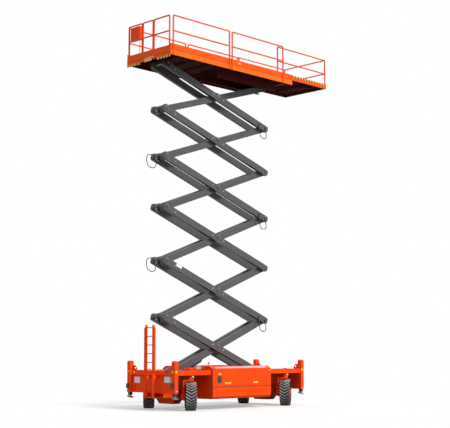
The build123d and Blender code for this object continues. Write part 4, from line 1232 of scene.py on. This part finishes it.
# %% Beacon and steering fittings
beacon_x, beacon_y = lid_low.x + 0.46, lid_high.y - 0.09
base = disc((beacon_x, beacon_y, lid_high.z + 0.014), radius=0.045, length=0.032, axis="Z", sides=28)
fit(push_face(base, upward, inset=0.008, depth=0.01), "beacon_base", "lid_near", white_plate)
lens = disc((beacon_x, beacon_y, lid_high.z + 0.060), radius=0.037, length=0.055, axis="Z", sides=28)
fit(push_face(lens, upward, inset=0.01, depth=0.012), "beacon_lens", "lid_near", amber_lens)
for end in ("rear", "front"):
    king = pin_place(f"steer_{end}_near")
    spot = (king.x, king.y - 0.10, bay_low.z - 0.01)
    fitting = disc(spot, radius=0.032, length=0.05, axis="Z", sides=20)
    fit(push_face(fitting, downward, inset=0.008, depth=0.008), f"steering_fitting_{end}", "chassis",
        white_plate)
print("beacon and fittings in place")

# %% [markdown]
# ## Trim on the platform
# Along its side beam the platform has a proud lower skirt with a joint above it, and the rear end has
# the same line. The joint could be a groove cut in the beam, but the beam is CAD, so a thin dark strip of
# painted shade shows it. A pale strip and a yellow plate sit under the gate, and one more yellow plate is
# on the near side.

# %% Skirts, and painted shade along their joints
skirt_thick, groove_shade_thick = 0.012, 0.005
skirt_ends = (deck_low.x, deck_high.x - 0.002)
skirt_low, skirt_top = deck_low.z + 0.143, deck_high.z - 0.215
groove_shade_top = skirt_top + 0.024
for side, name in ((-1, "near"), (1, "far")):
    face = side * deck_high.y
    skirt = on_face("Y", face, skirt_ends, (skirt_low, skirt_top), skirt_thick, edge=0.003)
    fit(skirt, f"side_skirt_{name}", "platform", skirt_orange)
    # a thin dark red strip along the joint: painted shade of a groove
    joint = on_face("Y", face, skirt_ends, (skirt_top, groove_shade_top), groove_shade_thick, edge=0.002)
    fit(joint, f"side_groove_shade_{name}", "platform", red_paint)
# the same strip of painted shade along the rear end's joint
rear_groove_shade_height = (12.005, 12.018)            # above the ground, like the plates' heights below
rear_groove_shade = on_face("X", deck_low.x, (-rear_band_ends[1], rear_band_ends[1]), rear_groove_shade_height,
                     edge=band_edge)
fit(rear_groove_shade, "rear_groove_shade", "platform", red_paint)
print("skirt from", round(skirt_low, 3), "to", round(skirt_top, 3))

# %% Small plates on the platform
platform_plates = [
    # name, axis, face, start and end across, low and high above the ground, finish
    ("rear_pale_strip", "X", deck_low.x, (-0.28, 0.20), (11.978, 12.0), white_plate),
    ("rear_yellow_plate", "X", deck_low.x, (-0.158, 0.21), (11.862, 11.952), yellow_plate),
    ("side_yellow_plate", "Y", -deck_high.y, (-0.86, -0.72), (12.165, 12.23), yellow_plate),
]
for name, axis, face, across, height, material in platform_plates:
    fit(on_face(axis, face, across, height), name, "platform", material)
print("platform plates", len(platform_plates))
